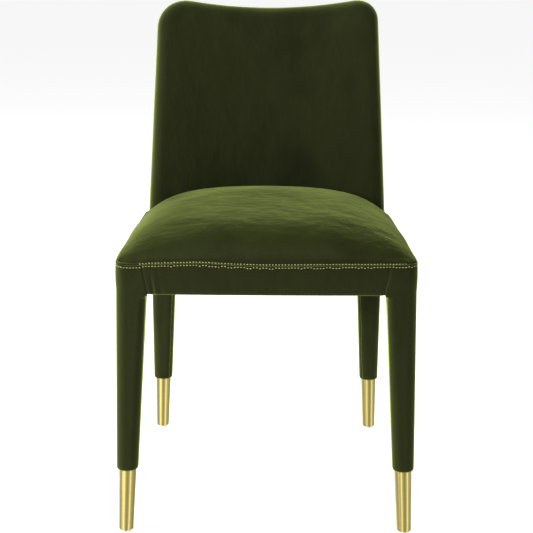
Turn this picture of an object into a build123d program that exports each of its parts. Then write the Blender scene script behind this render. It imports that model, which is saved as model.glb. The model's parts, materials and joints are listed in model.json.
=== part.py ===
from build123d import *

import os
from math import asin, cos, hypot, radians, sin, sqrt

# Upholstered dining chair: a doweled wooden frame, webbing, foam and velvet covers, with
# brass ferrules and nylon glides. Millimetres, +Z up. The origin is on the floor, at the
# centre of the chair's bounding box. The chair faces -Y, and left and right are as seen
# from the front, so left is -X.

# Overall size
OVERALL_DEPTH = 565.0
FRONT_Y = -OVERALL_DEPTH / 2

# Seat
SEAT_FRONT_WIDTH = 475.0
SEAT_REAR_WIDTH = 434.0
SEAT_SIDE_BULGE = 3.0
SEAT_FRONT_BOW = 5.0
SEAT_CORNER_RADIUS = 18.0
SEAT_REAR_RADIUS = 14.0
SEAM_HEIGHT = 461.0
CREST_HEIGHT = 503.0
SHOULDER_DROP = 4.0
FRONT_ROLL_DEPTH = 110.0
SIDE_ROLL_DEPTH = 95.0
ROLL_FOOT = 5.0
ROLL_MARGIN = 1.0
APRON_DEPTH = 49.0
APRON_INSET = 1.5
APRON_BOTTOM = SEAM_HEIGHT - APRON_DEPTH
REAR_CORNER_Y = FRONT_Y + 440.0

# Layers
COVER = 2.0
WADDING = 4.0
RAIL_THICKNESS = 22.0
RAIL_TOP = 457.0
RAIL_BOTTOM = APRON_BOTTOM + COVER
TURN_UNDER = 18.0
DUST_COVER = 1.0
STRAP_THICKNESS = 1.5
STRAP_WIDTH = 50.0
FOAM_BASE = RAIL_TOP + 2 * STRAP_THICKNESS
CLEARANCE = 0.3

# Backrest: a slab curved about an axis in front of it, leaning back about its foot
BACK_LEAN = 14.5
BACK_RADIUS = 660.0
BACK_THICKNESS = 46.0
BACK_FOOT_WIDTH = 435.0
BACK_TOP_WIDTH = 408.0
BACK_CORNER_RADIUS = 50.0
BACK_TOP_CENTRE = 377.0
BACK_TOP_CORNER = 394.0
BACK_FOOT_Y = (
    OVERALL_DEPTH / 2
    - BACK_TOP_CENTRE * sin(radians(BACK_LEAN))
    - BACK_THICKNESS * cos(radians(BACK_LEAN))
)
REAR_EDGE_Y = BACK_FOOT_Y + BACK_THICKNESS / cos(radians(BACK_LEAN))
FRONT_PAD_END = 16.0
PANEL_END = 20.0
BACK_FRAME_END = 40.0
REAR_PAD_END = BACK_THICKNESS - COVER
FRAME_INSET = 5.0
BACK_EDGE_RADIUS = 20.0
POST_INNER_X = 173.5
POST_FOOT = -30.0
CREST_RAIL_BOTTOM = 325.0
LOWER_RAIL = (15.0, 55.0)

# Legs: each is straight between a top centre under the apron and a foot centre
GLIDE_HEIGHT = 5.0
GLIDE_RADIUS = 8.5
SLEEVE_END = 113.0
SLEEVE_FOOT_SIZE = 35.0
SLEEVE_FOOT_RADIUS = 15.0
SLEEVE_HEAD_RADIUS = 12.0
FERRULE_TOP = 115.0
FERRULE_TOP_RADIUS = 13.75
FERRULE_END_RADIUS = 11.2
FERRULE_EDGE = 3.0
FERRULE_WALL = 1.2
FRONT_LEG = {
    "top": (211.5, FRONT_Y + 27.5),
    "foot": (229.0, FRONT_Y + 24.0),
    "size": 45.0,
}
REAR_LEG = {
    "top": (189.0, FRONT_Y + 424.5),
    "foot": (205.0, FRONT_Y + 506.0),
    "size": 44.0,
}
FRONT_HEAD_X = 188.5
FRONT_HEAD_Y = FRONT_Y + 50.5
REAR_HEAD_X = 173.0
REAR_HEAD_Y = FRONT_Y + 403.5

# Fasteners
DOWEL_RADIUS = 4.0
DOWEL_LENGTH = 40.0
DOWEL_HEIGHTS = (425.0, 446.0)
SCREW_RADIUS = 2.0
SCREW_HEAD_RADIUS = 4.0
SCREW_LENGTH = 30.0
NAIL_RADIUS = 1.5
NAIL_HEAD_RADIUS = 4.5
NAIL_TOP = 30.0
STAPLE = (10.0, 1.2, 0.5)
STAPLE_GAP = 34.0

SIDES = {"left": -1, "right": 1}
WOODEN = ("_leg_", "_rail", "block")
BIG = 1000.0


def block(low, high):
    """A box between two corners."""
    size = [b - a for a, b in zip(low, high)]
    return Pos(*low) * Box(*size, align=(Align.MIN, Align.MIN, Align.MIN))


def half_space(z):
    """Everything above a height."""
    return block((-BIG, -BIG, z), (BIG, BIG, z + BIG))


def rod(start, end, radius):
    """A round bar from one point to another."""
    axis = Vector(*end) - Vector(*start)
    section = Plane(origin=start, z_dir=axis) * Circle(radius)
    return extrude(section, amount=axis.length)


def to_side(shape, side):
    """A right-hand part, or its mirror image on the left."""
    return shape if side > 0 else mirror(shape, about=Plane.YZ)


# ---------------------------------------------------------------- outlines


def arc_radius(half_chord, sagitta):
    """The radius of an arc from half its chord and its height."""
    return (half_chord**2 + sagitta**2) / (2 * sagitta)


def seat_outline(inset=0.0):
    """The seat from above: where four great discs meet, one bounding each edge."""
    front, rear = SEAT_FRONT_WIDTH / 2, SEAT_REAR_WIDTH / 2
    radius = arc_radius(front, SEAT_FRONT_BOW)
    face = Pos(0, FRONT_Y + radius) * Circle(radius - inset)
    radius = arc_radius(rear, REAR_EDGE_Y - REAR_CORNER_Y)
    face &= Pos(0, REAR_EDGE_Y - radius) * Circle(radius - inset)

    length = REAR_CORNER_Y - FRONT_Y - SEAT_FRONT_BOW
    chord = sqrt(length**2 + (front - rear) ** 2) / 2
    radius = arc_radius(chord, SEAT_SIDE_BULGE)
    turn = asin((front - rear) / (2 * chord))
    x = (front + rear) / 2 - (radius - SEAT_SIDE_BULGE) * cos(turn)
    y = (REAR_CORNER_Y + FRONT_Y + SEAT_FRONT_BOW) / 2
    y -= (radius - SEAT_SIDE_BULGE) * sin(turn)
    face &= Pos(x, y) * Circle(radius - inset)
    face &= Pos(-x, y) * Circle(radius - inset)

    corners = face.vertices().sort_by(Axis.Y)
    face = fillet(corners[:2], max(SEAT_CORNER_RADIUS - inset, 1.0))
    corners = face.vertices().sort_by(Axis.Y)
    return fillet(corners[-2:], max(SEAT_REAR_RADIUS - inset, 1.0))


def seat_prism(inset, low, high):
    """The seat's outline between two heights."""
    return Pos(0, 0, low) * extrude(seat_outline(inset), amount=high - low)


def seat_ring(outer, inner, low, high):
    """A band that follows the seat's outline between two insets and two heights."""
    return seat_prism(outer, low, high) - seat_prism(inner, low, high)


def side_x(y):
    """Half the seat's width at a depth, along the straight line between its corners."""
    share = (y - FRONT_Y) / (REAR_CORNER_Y - FRONT_Y)
    return (SEAT_FRONT_WIDTH + (SEAT_REAR_WIDTH - SEAT_FRONT_WIDTH) * share) / 2


def rear_y(x):
    """The rear edge's depth at a distance from the centre line, taken as a parabola."""
    return REAR_EDGE_Y - (REAR_EDGE_Y - REAR_CORNER_Y) * (x / (SEAT_REAR_WIDTH / 2)) ** 2


def front_y(x):
    """The front edge's depth at a distance from the centre line, taken as a parabola."""
    return FRONT_Y + SEAT_FRONT_BOW * (x / (SEAT_FRONT_WIDTH / 2)) ** 2


BACK_FRAME = Pos(0, BACK_FOOT_Y, SEAM_HEIGHT) * Rot(-BACK_LEAN, 0, 0)


def back_slab(near, far):
    """A layer of the curved back between two depths behind its front face, in the leaning frame."""
    ring = Circle(BACK_RADIUS + far) - Circle(BACK_RADIUS + near)
    ring &= Pos(0, BACK_RADIUS) * Rectangle(BACK_RADIUS, 2 * BACK_RADIUS)
    return Pos(0, -BACK_RADIUS, -BIG / 4) * extrude(ring, amount=BIG)


def back_outline(inset=0.0):
    """The back from the front, as a prism: tapering sides, round corners and a dipped top."""
    foot, top = BACK_FOOT_WIDTH / 2, BACK_TOP_WIDTH / 2
    taper = (foot - top) / BACK_TOP_CORNER
    low, high = -BIG / 10, BACK_TOP_CORNER + 50
    step = inset * sqrt(1 + taper**2)
    wide, narrow = foot - low * taper - step, foot - high * taper - step
    corners = [(-wide, low), (wide, low), (narrow, high), (-narrow, high)]
    radius = arc_radius(top, BACK_TOP_CORNER - BACK_TOP_CENTRE)
    face = make_face(Polyline(*corners, close=True))
    face -= Pos(0, BACK_TOP_CENTRE + radius) * Circle(radius + inset)
    ears = face.vertices().sort_by(Axis.Y)[-2:]
    face = fillet(ears, BACK_CORNER_RADIUS - inset)
    return Rot(90, 0, 0) * Pos(0, 0, -BIG / 4) * extrude(face, amount=BIG / 2)


def back_body(near, far, inset, rounding=0.0):
    """One layer of the back in the leaning frame, with its front edges rounded if asked."""
    body = back_slab(near, far) & back_outline(inset)
    if rounding:
        found = []
        for edge in body.edges():
            spot = edge @ 0.5
            on_front = abs(hypot(spot.X, spot.Y + BACK_RADIUS) - BACK_RADIUS - near) < 0.01
            if on_front and spot.Z > 0:
                found.append(edge)
        body = fillet(found, rounding)
    return body


def back_layer(near, far, inset, rounding=0.0):
    """One layer of the back, in the chair's frame, above the seat's seam."""
    return (BACK_FRAME * back_body(near, far, inset, rounding)) & half_space(SEAM_HEIGHT)


# ---------------------------------------------------------------- legs


def leg_centre(leg, z):
    """The leg's centre at a height, on its straight axis."""
    share = (z - GLIDE_HEIGHT) / (APRON_BOTTOM - GLIDE_HEIGHT)
    return [a + (b - a) * share for a, b in zip(leg["foot"], leg["top"])]


def leg_section(leg, z, inset):
    """A rounded square across the leg at a height, drawn in by an inset."""
    share = (z - SLEEVE_END) / (APRON_BOTTOM - SLEEVE_END)
    size = SLEEVE_FOOT_SIZE + (leg["size"] - SLEEVE_FOOT_SIZE) * share - 2 * inset
    radius = (
        SLEEVE_FOOT_RADIUS + (SLEEVE_HEAD_RADIUS - SLEEVE_FOOT_RADIUS) * share - inset
    )
    return Pos(*leg_centre(leg, z), z) * RectangleRounded(size, size, radius)


def leg_shaft(leg, low, inset=0.0):
    """The tapering part of a leg, from a height up to the apron's underside."""
    ends = [leg_section(leg, low, inset), leg_section(leg, APRON_BOTTOM, inset)]
    return loft(ends, ruled=True)


def leg_cone(leg, low, high, inset=0.0):
    """The round tapering end of a leg, which the ferrule covers."""

    def section(z):
        share = (z - GLIDE_HEIGHT) / (FERRULE_TOP - GLIDE_HEIGHT)
        radius = FERRULE_END_RADIUS + (FERRULE_TOP_RADIUS - FERRULE_END_RADIUS) * share
        return Pos(*leg_centre(leg, z), z) * Circle(radius - inset)

    return loft([section(low), section(high)], ruled=True)


def nail(leg):
    """The glide's nail: a flat head inside the glide and a shank up into the wood."""
    x, y = leg["foot"]
    shank = rod((x, y, 2.0), (x, y, NAIL_TOP), NAIL_RADIUS)
    return shank + rod((x, y, 2.0), (x, y, 3.0), NAIL_HEAD_RADIUS)


def glide(leg):
    """A nylon pad with a rounded lower edge, moulded round the nail's head."""
    pad = Pos(*leg["foot"], 0) * Cylinder(
        GLIDE_RADIUS, GLIDE_HEIGHT, align=(Align.CENTER, Align.CENTER, Align.MIN)
    )
    pad = fillet(pad.edges().sort_by(Axis.Z)[0], 1.5)
    return pad - nail(leg)


def ferrule(leg):
    """A hollow brass cone with a closed, rounded end and a hole for the nail."""
    shell = leg_cone(leg, GLIDE_HEIGHT, FERRULE_TOP)
    shell = fillet(shell.edges().sort_by(Axis.Z)[0], FERRULE_EDGE)
    hollow = leg_cone(leg, GLIDE_HEIGHT + FERRULE_WALL, FERRULE_TOP, FERRULE_WALL)
    return shell - hollow - nail(leg)


def head_region(leg):
    """The corner of the seat frame that belongs to the right-hand leg's head."""
    if leg is FRONT_LEG:
        return block((FRONT_HEAD_X, -BIG, 0), (BIG, FRONT_HEAD_Y, BIG))
    return block((REAR_HEAD_X, REAR_HEAD_Y, 0), (BIG, BIG, BIG))


def leg_core(leg):
    """The wooden leg: a head in the seat frame, a tapering shaft and a round lower end."""
    skin = APRON_INSET + COVER
    head = seat_prism(skin, APRON_BOTTOM, RAIL_TOP) & head_region(leg)
    core = head + leg_shaft(leg, FERRULE_TOP, COVER)
    core += leg_cone(leg, GLIDE_HEIGHT + FERRULE_WALL, FERRULE_TOP, FERRULE_WALL)
    if leg is REAR_LEG:
        core += back_post()
    return core - nail(leg)


def leg_sleeve(leg):
    """The velvet on a leg: a tube turned in above the ferrule and the frame's corner skin."""
    tube = leg_shaft(leg, SLEEVE_END) - leg_shaft(leg, FERRULE_TOP, COVER)
    tube -= leg_cone(leg, GLIDE_HEIGHT, FERRULE_TOP)
    corner = seat_ring(APRON_INSET, APRON_INSET + COVER, APRON_BOTTOM, SEAM_HEIGHT)
    return tube + (corner & head_region(leg))


# ---------------------------------------------------------------- wooden frame


def rail_band(low=RAIL_BOTTOM, high=RAIL_TOP):
    """The band that all four seat rails are cut from."""
    skin = APRON_INSET + COVER
    return seat_ring(skin, skin + RAIL_THICKNESS, low, high)


FRONT_SPAN = block((-FRONT_HEAD_X, -BIG, 0), (FRONT_HEAD_X, FRONT_HEAD_Y, BIG))
REAR_SPAN = block((-REAR_HEAD_X, REAR_HEAD_Y, 0), (REAR_HEAD_X, BIG, BIG))
SIDE_SPAN = block((0, FRONT_HEAD_Y, 0), (BIG, REAR_HEAD_Y, BIG))


def back_post():
    """The upright that the rear leg carries above the seat, cut from the curved layer."""
    strip = block((POST_INNER_X, -BIG, POST_FOOT), (BIG, BIG, BIG))
    return BACK_FRAME * (back_body(PANEL_END, BACK_FRAME_END, FRAME_INSET) & strip)


def back_rail(low, high):
    """A curved rail between the two posts."""
    span = block((-POST_INNER_X, -BIG, low), (POST_INNER_X, BIG, high))
    return BACK_FRAME * (back_body(PANEL_END, BACK_FRAME_END, FRAME_INSET) & span)


def corner_block(leg):
    """A block glued across a corner of the seat frame, notched round the leg's head."""
    if leg is FRONT_LEG:
        points = [(118, FRONT_Y + 20), (240, FRONT_Y + 20), (240, FRONT_Y + 125)]
    else:
        points = [(90, REAR_EDGE_Y), (230, REAR_EDGE_Y), (230, REAR_HEAD_Y - 85)]
    wedge = extrude(make_face(Polyline(*points, close=True)), amount=28)
    inside = APRON_INSET + COVER + RAIL_THICKNESS
    return (Pos(0, 0, 421) * wedge & seat_prism(inside, 0, BIG)) - head_region(leg)


def block_screws(leg):
    """Two screws through a corner block, one into each rail, given as (head point, direction)."""
    if leg is FRONT_LEG:
        return [
            ((168.0, FRONT_Y + 48.0, 435.0), (0, -1, 0)),
            ((196.0, FRONT_Y + 74.0, 435.0), (1, 0, 0)),
        ]
    return [
        ((150.0, REAR_HEAD_Y + 10.0, 435.0), (0, 1, 0)),
        ((178.0, REAR_HEAD_Y - 16.0, 435.0), (1, 0, 0)),
    ]


def screw(head, direction):
    """A wood screw: a flat head and a shank, pointing along a direction."""
    head, direction = Vector(*head), Vector(*direction)
    shank = rod(tuple(head), tuple(head + direction * SCREW_LENGTH), SCREW_RADIUS)
    return shank + rod(tuple(head), tuple(head + direction * 3), SCREW_HEAD_RADIUS)


def screw_access(head, direction):
    """The counterbore that a screw's head goes in through."""
    head, direction = Vector(*head), Vector(*direction)
    return rod(tuple(head - direction * 60), tuple(head), SCREW_HEAD_RADIUS)


def seat_dowels():
    """The dowels of the right-hand half of the seat frame, two to a joint."""
    middle = APRON_INSET + COVER + RAIL_THICKNESS / 2
    half = DOWEL_LENGTH / 2
    found = []
    for z in DOWEL_HEIGHTS:
        for x, y in (
            (FRONT_HEAD_X, front_y(FRONT_HEAD_X) + middle),
            (REAR_HEAD_X, rear_y(REAR_HEAD_X) - middle),
        ):
            found.append(rod((x - half, y, z), (x + half, y, z), DOWEL_RADIUS))
        for y in (FRONT_HEAD_Y, REAR_HEAD_Y):
            x = side_x(y) + SEAT_SIDE_BULGE / 2 - middle
            found.append(rod((x, y - half, z), (x, y + half, z), DOWEL_RADIUS))
    return found


def back_dowels():
    """The dowels between the right-hand post and the two back rails, lying along the curve."""
    layer_radius = BACK_RADIUS + (PANEL_END + BACK_FRAME_END) / 2
    turn = asin(POST_INNER_X / layer_radius)
    depth = sqrt(layer_radius**2 - POST_INNER_X**2) - BACK_RADIUS
    heights = (CREST_RAIL_BOTTOM + 10, CREST_RAIL_BOTTOM + 28, LOWER_RAIL[0] + 9, LOWER_RAIL[1] - 9)
    along = Vector(cos(turn), -sin(turn), 0) * (DOWEL_LENGTH * 0.4)
    found = []
    for v in heights:
        centre = Vector(POST_INNER_X, depth, v)
        dowel = rod(tuple(centre - along), tuple(centre + along), DOWEL_RADIUS)
        found.append(BACK_FRAME * dowel)
    return found


# ---------------------------------------------------------------- webbing and padding


def straps_lengthwise():
    """Three elastic straps from the front rail to the rear rail."""
    half, edge = STRAP_WIDTH / 2, 9.0
    found = []
    for x in (-112.0, 0.0, 112.0):
        low = (x - half, front_y(abs(x) + half) + edge, RAIL_TOP)
        high = (x + half, rear_y(abs(x) + half) - edge, RAIL_TOP + STRAP_THICKNESS)
        found.append(block(low, high))
    return found


def straps_crosswise():
    """Three elastic straps across the seat, lying on the lengthwise ones."""
    half, edge = STRAP_WIDTH / 2, 9.0
    found = []
    for y in (FRONT_Y + 118.0, FRONT_Y + 228.0, FRONT_Y + 338.0):
        end = side_x(y + half) - edge
        low = (-end, y - half, RAIL_TOP + STRAP_THICKNESS)
        found.append(block(low, (end, y + half, FOAM_BASE)))
    return found


def rolled_edge(reach, run, rise, inset):
    """A profile's outer end: a foot just outside the outline, then a quarter ellipse."""
    edge = reach + ROLL_MARGIN - inset
    foot = Line((edge, SEAM_HEIGHT - ROLL_FOOT), (edge, SEAM_HEIGHT))
    wide = run + ROLL_MARGIN - inset
    arc = EllipticalCenterArc((reach - run, SEAM_HEIGHT), wide, rise - inset)
    return [foot, arc]


def cutter(edges):
    """A closed profile of width and height, drawn out along Y over the whole chair."""
    return Rot(90, 0, 0) * Pos(0, 0, -BIG / 2) * extrude(make_face(edges), amount=BIG)


def crown(inset, base):
    """The domed seat above a height: its outline cut by a front and a side profile."""
    rise = CREST_HEIGHT - SHOULDER_DROP - SEAM_HEIGHT
    shoulder = SEAM_HEIGHT + rise - inset
    low = SEAM_HEIGHT - ROLL_FOOT

    half = SEAT_FRONT_WIDTH / 2
    right = rolled_edge(half, SIDE_ROLL_DEPTH, rise, inset)
    left = [mirror(edge, about=Plane.YZ) for edge in right]
    flat = half - SIDE_ROLL_DEPTH
    arch = ThreePointArc((-flat, shoulder), (0, CREST_HEIGHT - inset), (flat, shoulder))
    edge = half + ROLL_MARGIN - inset
    floor = Line((-edge, low), (edge, low))
    across = cutter([*right, *left, arch, floor])

    reach = OVERALL_DEPTH / 2
    front = rolled_edge(reach, FRONT_ROLL_DEPTH, rise, inset)
    edge = reach + ROLL_MARGIN - inset
    start = (reach - FRONT_ROLL_DEPTH, shoulder)
    crest = (-BACK_FOOT_Y, CREST_HEIGHT - inset)
    top = Polyline(start, crest, (-reach, crest[1]), (-reach, low), (edge, low))
    along = Rot(0, 0, -90) * cutter([*front, top])

    whole = seat_prism(inset, base, CREST_HEIGHT + ROLL_FOOT) & across & along
    return whole - BACK_FRAME * back_slab(-CLEARANCE, BIG)


def seat_foam():
    """The foam block, from the webbing to the wadding's underside."""
    return crown(COVER + WADDING, FOAM_BASE)


def seat_wadding():
    """The soft layer over the foam."""
    return crown(COVER, SEAM_HEIGHT) - crown(COVER + WADDING, FOAM_BASE)


def seat_top_cover():
    """The velvet over the seat, down to the seam."""
    return crown(0, SEAM_HEIGHT) - crown(COVER, FOAM_BASE)


def back_front_foam():
    """The foam of the back, in front of the panel and wrapped over the frame's edges."""
    whole = back_layer(COVER, BACK_FRAME_END, COVER, BACK_EDGE_RADIUS - COVER)
    return whole - back_layer(FRONT_PAD_END, BACK_FRAME_END, FRAME_INSET)


def back_inside_cover():
    """The velvet on the front, sides and top of the back."""
    whole = back_layer(0, BACK_THICKNESS, 0, BACK_EDGE_RADIUS)
    return whole - back_layer(COVER, BACK_THICKNESS, COVER, BACK_EDGE_RADIUS - COVER)


# ---------------------------------------------------------------- covers below the seam


def apron_cover(span):
    """The velvet on a rail: an upright skin and a margin turned under the rail."""
    skin = APRON_INSET + COVER
    upright = seat_ring(APRON_INSET, skin, APRON_BOTTOM, SEAM_HEIGHT)
    margin = seat_ring(APRON_INSET, APRON_INSET + TURN_UNDER, APRON_BOTTOM, RAIL_BOTTOM)
    return (upright + margin) & span


def dust_cover():
    """The thin black cloth under the seat, cut out round the legs."""
    low = APRON_BOTTOM - DUST_COVER
    sheet = seat_prism(TURN_UNDER / 2 + 3, low, APRON_BOTTOM)
    for leg in (FRONT_LEG, REAR_LEG):
        section = leg_section(leg, APRON_BOTTOM, -2.0)
        cut = Pos(0, 0, -10) * extrude(section, amount=20)
        sheet -= cut + mirror(cut, about=Plane.YZ)
    return sheet


def staple_places():
    """Centre and turn of each staple, evenly spaced along the dust cover's four edges."""
    inset = TURN_UNDER / 2 + 7
    front, rear = FRONT_HEAD_X - 22, REAR_HEAD_X - 22
    near, far = FRONT_HEAD_Y + 22, REAR_HEAD_Y - 22

    def spread(low, high):
        count = round((high - low) / STAPLE_GAP)
        return [low + (high - low) * i / count for i in range(count + 1)]

    found = [(x, front_y(x) + inset, 0) for x in spread(-front, front)]
    found += [(x, rear_y(x) - inset - 1, 0) for x in spread(-rear, rear)]
    for side in SIDES.values():
        found += [(side * (side_x(y) - inset), y, 90) for y in spread(near, far)]
    return found


def staples():
    """The staples' crowns, flat against the dust cover."""
    z = APRON_BOTTOM - DUST_COVER - STAPLE[2] / 2
    return [Pos(x, y, z) * Rot(0, 0, turn) * Box(*STAPLE) for x, y, turn in staple_places()]


# ---------------------------------------------------------------- assembly


def build():
    """Every node by name, as one solid or a list of separate solids."""
    nodes = {}
    dowels, back_pegs, screws, nails = [], [], [], []
    for name, side in SIDES.items():
        dowels += [to_side(d, side) for d in seat_dowels()]
        back_pegs += [to_side(d, side) for d in back_dowels()]
        for place, leg in (("front", FRONT_LEG), ("rear", REAR_LEG)):
            nails.append(to_side(nail(leg), side))
            screws += [to_side(screw(*at), side) for at in block_screws(leg)]
            nodes[f"{place}_leg_{name}"] = to_side(leg_core(leg), side)
            nodes[f"{place}_leg_sleeve_{name}"] = to_side(leg_sleeve(leg), side)
            nodes[f"{place}_ferrule_{name}"] = to_side(ferrule(leg), side)
            nodes[f"{place}_glide_{name}"] = to_side(glide(leg), side)
            wedge = corner_block(leg)
            for at in block_screws(leg):
                wedge -= screw_access(*at)
            nodes[f"{place}_corner_block_{name}"] = to_side(wedge, side)
        nodes[f"side_rail_{name}"] = to_side(rail_band() & SIDE_SPAN, side)
        nodes[f"apron_cover_{name}"] = to_side(apron_cover(SIDE_SPAN), side)

    nodes["front_rail"] = rail_band() & FRONT_SPAN
    nodes["rear_rail"] = rail_band() & REAR_SPAN
    nodes["crest_rail"] = back_rail(CREST_RAIL_BOTTOM, BIG)
    nodes["lower_back_rail"] = back_rail(*LOWER_RAIL)
    for node in nodes:
        if "sleeve" not in node and any(word in node for word in WOODEN):
            for peg in dowels + back_pegs + screws:
                nodes[node] -= peg

    nodes["back_panel"] = back_layer(FRONT_PAD_END, PANEL_END, FRAME_INSET)
    nodes["back_front_foam"] = back_front_foam()
    nodes["back_rear_pad"] = back_layer(BACK_FRAME_END, REAR_PAD_END, COVER)
    nodes["back_inside_cover"] = back_inside_cover()
    nodes["back_outside_cover"] = back_layer(REAR_PAD_END, BACK_THICKNESS, COVER)
    nodes["apron_cover_front"] = apron_cover(FRONT_SPAN)
    nodes["apron_cover_rear"] = apron_cover(REAR_SPAN)
    nodes["webbing_lengthwise"] = straps_lengthwise()
    nodes["webbing_crosswise"] = straps_crosswise()
    nodes["seat_foam"] = seat_foam()
    nodes["seat_wadding"] = seat_wadding()
    nodes["seat_top_cover"] = seat_top_cover()
    nodes["dust_cover"] = dust_cover()
    nodes["dust_cover_staples"] = staples()
    nodes["seat_dowels"] = dowels
    nodes["back_dowels"] = back_pegs
    nodes["corner_block_screws"] = screws
    nodes["glide_nails"] = nails
    return nodes


def main():
    """Writes one STEP file for each node."""
    os.makedirs("parts", exist_ok=True)
    for node, shape in build().items():
        solids = []
        for piece in shape if isinstance(shape, list) else [shape]:
            solids += piece.solids()
        export_step(Compound(solids), f"parts/{node}.step")


main()
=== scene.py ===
import json
import math

import bmesh
import bpy
import numpy as np
from bpy.props import FloatProperty, FloatVectorProperty, PointerProperty
from mathutils import Matrix, Vector
from mathutils.bvhtree import BVHTree

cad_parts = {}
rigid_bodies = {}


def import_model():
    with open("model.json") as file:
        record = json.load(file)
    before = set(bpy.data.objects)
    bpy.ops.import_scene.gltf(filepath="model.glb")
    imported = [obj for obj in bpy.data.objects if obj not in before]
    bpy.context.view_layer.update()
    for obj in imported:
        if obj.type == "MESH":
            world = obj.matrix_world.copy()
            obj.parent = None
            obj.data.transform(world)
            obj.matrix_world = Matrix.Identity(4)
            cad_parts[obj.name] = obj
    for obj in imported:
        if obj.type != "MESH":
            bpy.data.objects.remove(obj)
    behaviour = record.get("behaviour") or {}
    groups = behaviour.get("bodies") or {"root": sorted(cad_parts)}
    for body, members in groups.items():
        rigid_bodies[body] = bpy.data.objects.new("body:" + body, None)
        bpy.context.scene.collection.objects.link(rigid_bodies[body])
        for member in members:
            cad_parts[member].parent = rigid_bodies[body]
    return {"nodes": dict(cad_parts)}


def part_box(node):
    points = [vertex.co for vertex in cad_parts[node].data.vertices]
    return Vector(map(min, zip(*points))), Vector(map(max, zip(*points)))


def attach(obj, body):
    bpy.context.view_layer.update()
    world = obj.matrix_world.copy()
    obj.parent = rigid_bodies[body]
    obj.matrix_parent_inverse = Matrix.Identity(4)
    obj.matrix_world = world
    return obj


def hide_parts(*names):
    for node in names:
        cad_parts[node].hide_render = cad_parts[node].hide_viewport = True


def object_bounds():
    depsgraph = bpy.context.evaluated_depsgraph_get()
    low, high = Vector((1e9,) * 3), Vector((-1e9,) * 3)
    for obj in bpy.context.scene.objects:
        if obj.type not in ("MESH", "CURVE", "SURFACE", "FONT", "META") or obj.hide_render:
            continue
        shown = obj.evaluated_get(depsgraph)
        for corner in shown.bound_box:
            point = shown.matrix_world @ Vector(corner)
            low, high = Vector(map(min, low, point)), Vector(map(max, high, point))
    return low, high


bl_info = {
    "name": "Velvet Dining Chair",
    "version": (1, 0, 0),
    "blender": (4, 5, 0),
    "location": "3D View > Sidebar > Chair",
    "description": "Upholsters a wooden dining chair frame in velvet, with brass ferrules",
    "category": "Object",
}

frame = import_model()
NODES = frame["nodes"]
CAD_BOX = [list(map(float, corner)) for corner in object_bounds()]
FRONT = CAD_BOX[0][1]
SEAM = float(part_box("seat_top_cover")[0][2])
APRON_BOTTOM = float(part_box("apron_cover_front")[0][2])
SLEEVE_END = float(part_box("front_leg_sleeve_right")[0][2])
FERRULE = [list(map(float, corner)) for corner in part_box("front_ferrule_right")]


# ---------------------------------------------------------------- settings


class ChairSeatSettings(bpy.types.PropertyGroup):
    """Sizes of the seat, its seam and its stitching"""

    front_half: FloatProperty(
        name="Front Half Width", description="Half the seat's width at its front corners",
        default=0.2375, unit="LENGTH",
    )
    rear_half: FloatProperty(
        name="Rear Half Width", description="Half the seat's width at its rear corners",
        default=0.217, unit="LENGTH",
    )
    crown: FloatProperty(
        name="Crown", description="Height of the cushion's middle above the seam",
        default=0.043, unit="LENGTH",
    )
    side_roll: FloatProperty(
        name="Side Roll", description="Distance over which the cushion rises from its sides",
        default=0.035, unit="LENGTH",
    )
    front_roll: FloatProperty(
        name="Front Roll", description="Distance over which the cushion rises from its front",
        default=0.040, unit="LENGTH",
    )
    puff: FloatProperty(
        name="Puff Cap", description="Farthest the stuffing may push the velvet",
        default=0.004, unit="LENGTH",
    )
    stitch_pitch: FloatProperty(
        name="Stitch Pitch", description="Distance from one stitch to the next",
        default=0.0049, unit="LENGTH",
    )
    stitch_gap: FloatProperty(
        name="Stitch Row Gap", description="Distance of each stitch row from the seam",
        default=0.0034, unit="LENGTH",
    )


class ChairBackSettings(bpy.types.PropertyGroup):
    """Sizes of the curved back"""

    foot_half: FloatProperty(
        name="Foot Half Width", description="Half the back's width at the seat's seam",
        default=0.2175, unit="LENGTH",
    )
    top_half: FloatProperty(
        name="Top Half Width", description="Half the back's width at its top corners",
        default=0.2027, unit="LENGTH",
    )
    top_corner: FloatProperty(
        name="Corner Height", description="Height of the square corner above the seam",
        default=0.3968, unit="LENGTH",
    )
    top_centre: FloatProperty(
        name="Centre Height", description="Height of the top edge's dip above the seam",
        default=0.3796, unit="LENGTH",
    )
    corner_radius: FloatProperty(
        name="Corner Radius", description="Rounding of the two upper corners",
        default=0.056, unit="LENGTH",
    )
    curve_radius: FloatProperty(
        name="Curve Radius", description="Radius of the hollow that the sitter leans into",
        default=0.66, unit="LENGTH",
    )
    lean: FloatProperty(
        name="Lean", description="Angle of the back behind upright",
        default=math.radians(14.5), unit="ROTATION",
    )
    thickness: FloatProperty(
        name="Thickness", description="Depth of the upholstered back",
        default=0.046, unit="LENGTH",
    )
    edge_roll: FloatProperty(
        name="Edge Roll", description="Radius of the padded edge",
        default=0.026, unit="LENGTH",
    )
    seam_depth: FloatProperty(
        name="Seam Depth", description="Depth of the closing seam behind the front",
        default=0.036, unit="LENGTH",
    )
    crown: FloatProperty(
        name="Crown", description="How far the padding swells forward in the middle",
        default=0.004, unit="LENGTH",
    )


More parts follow.
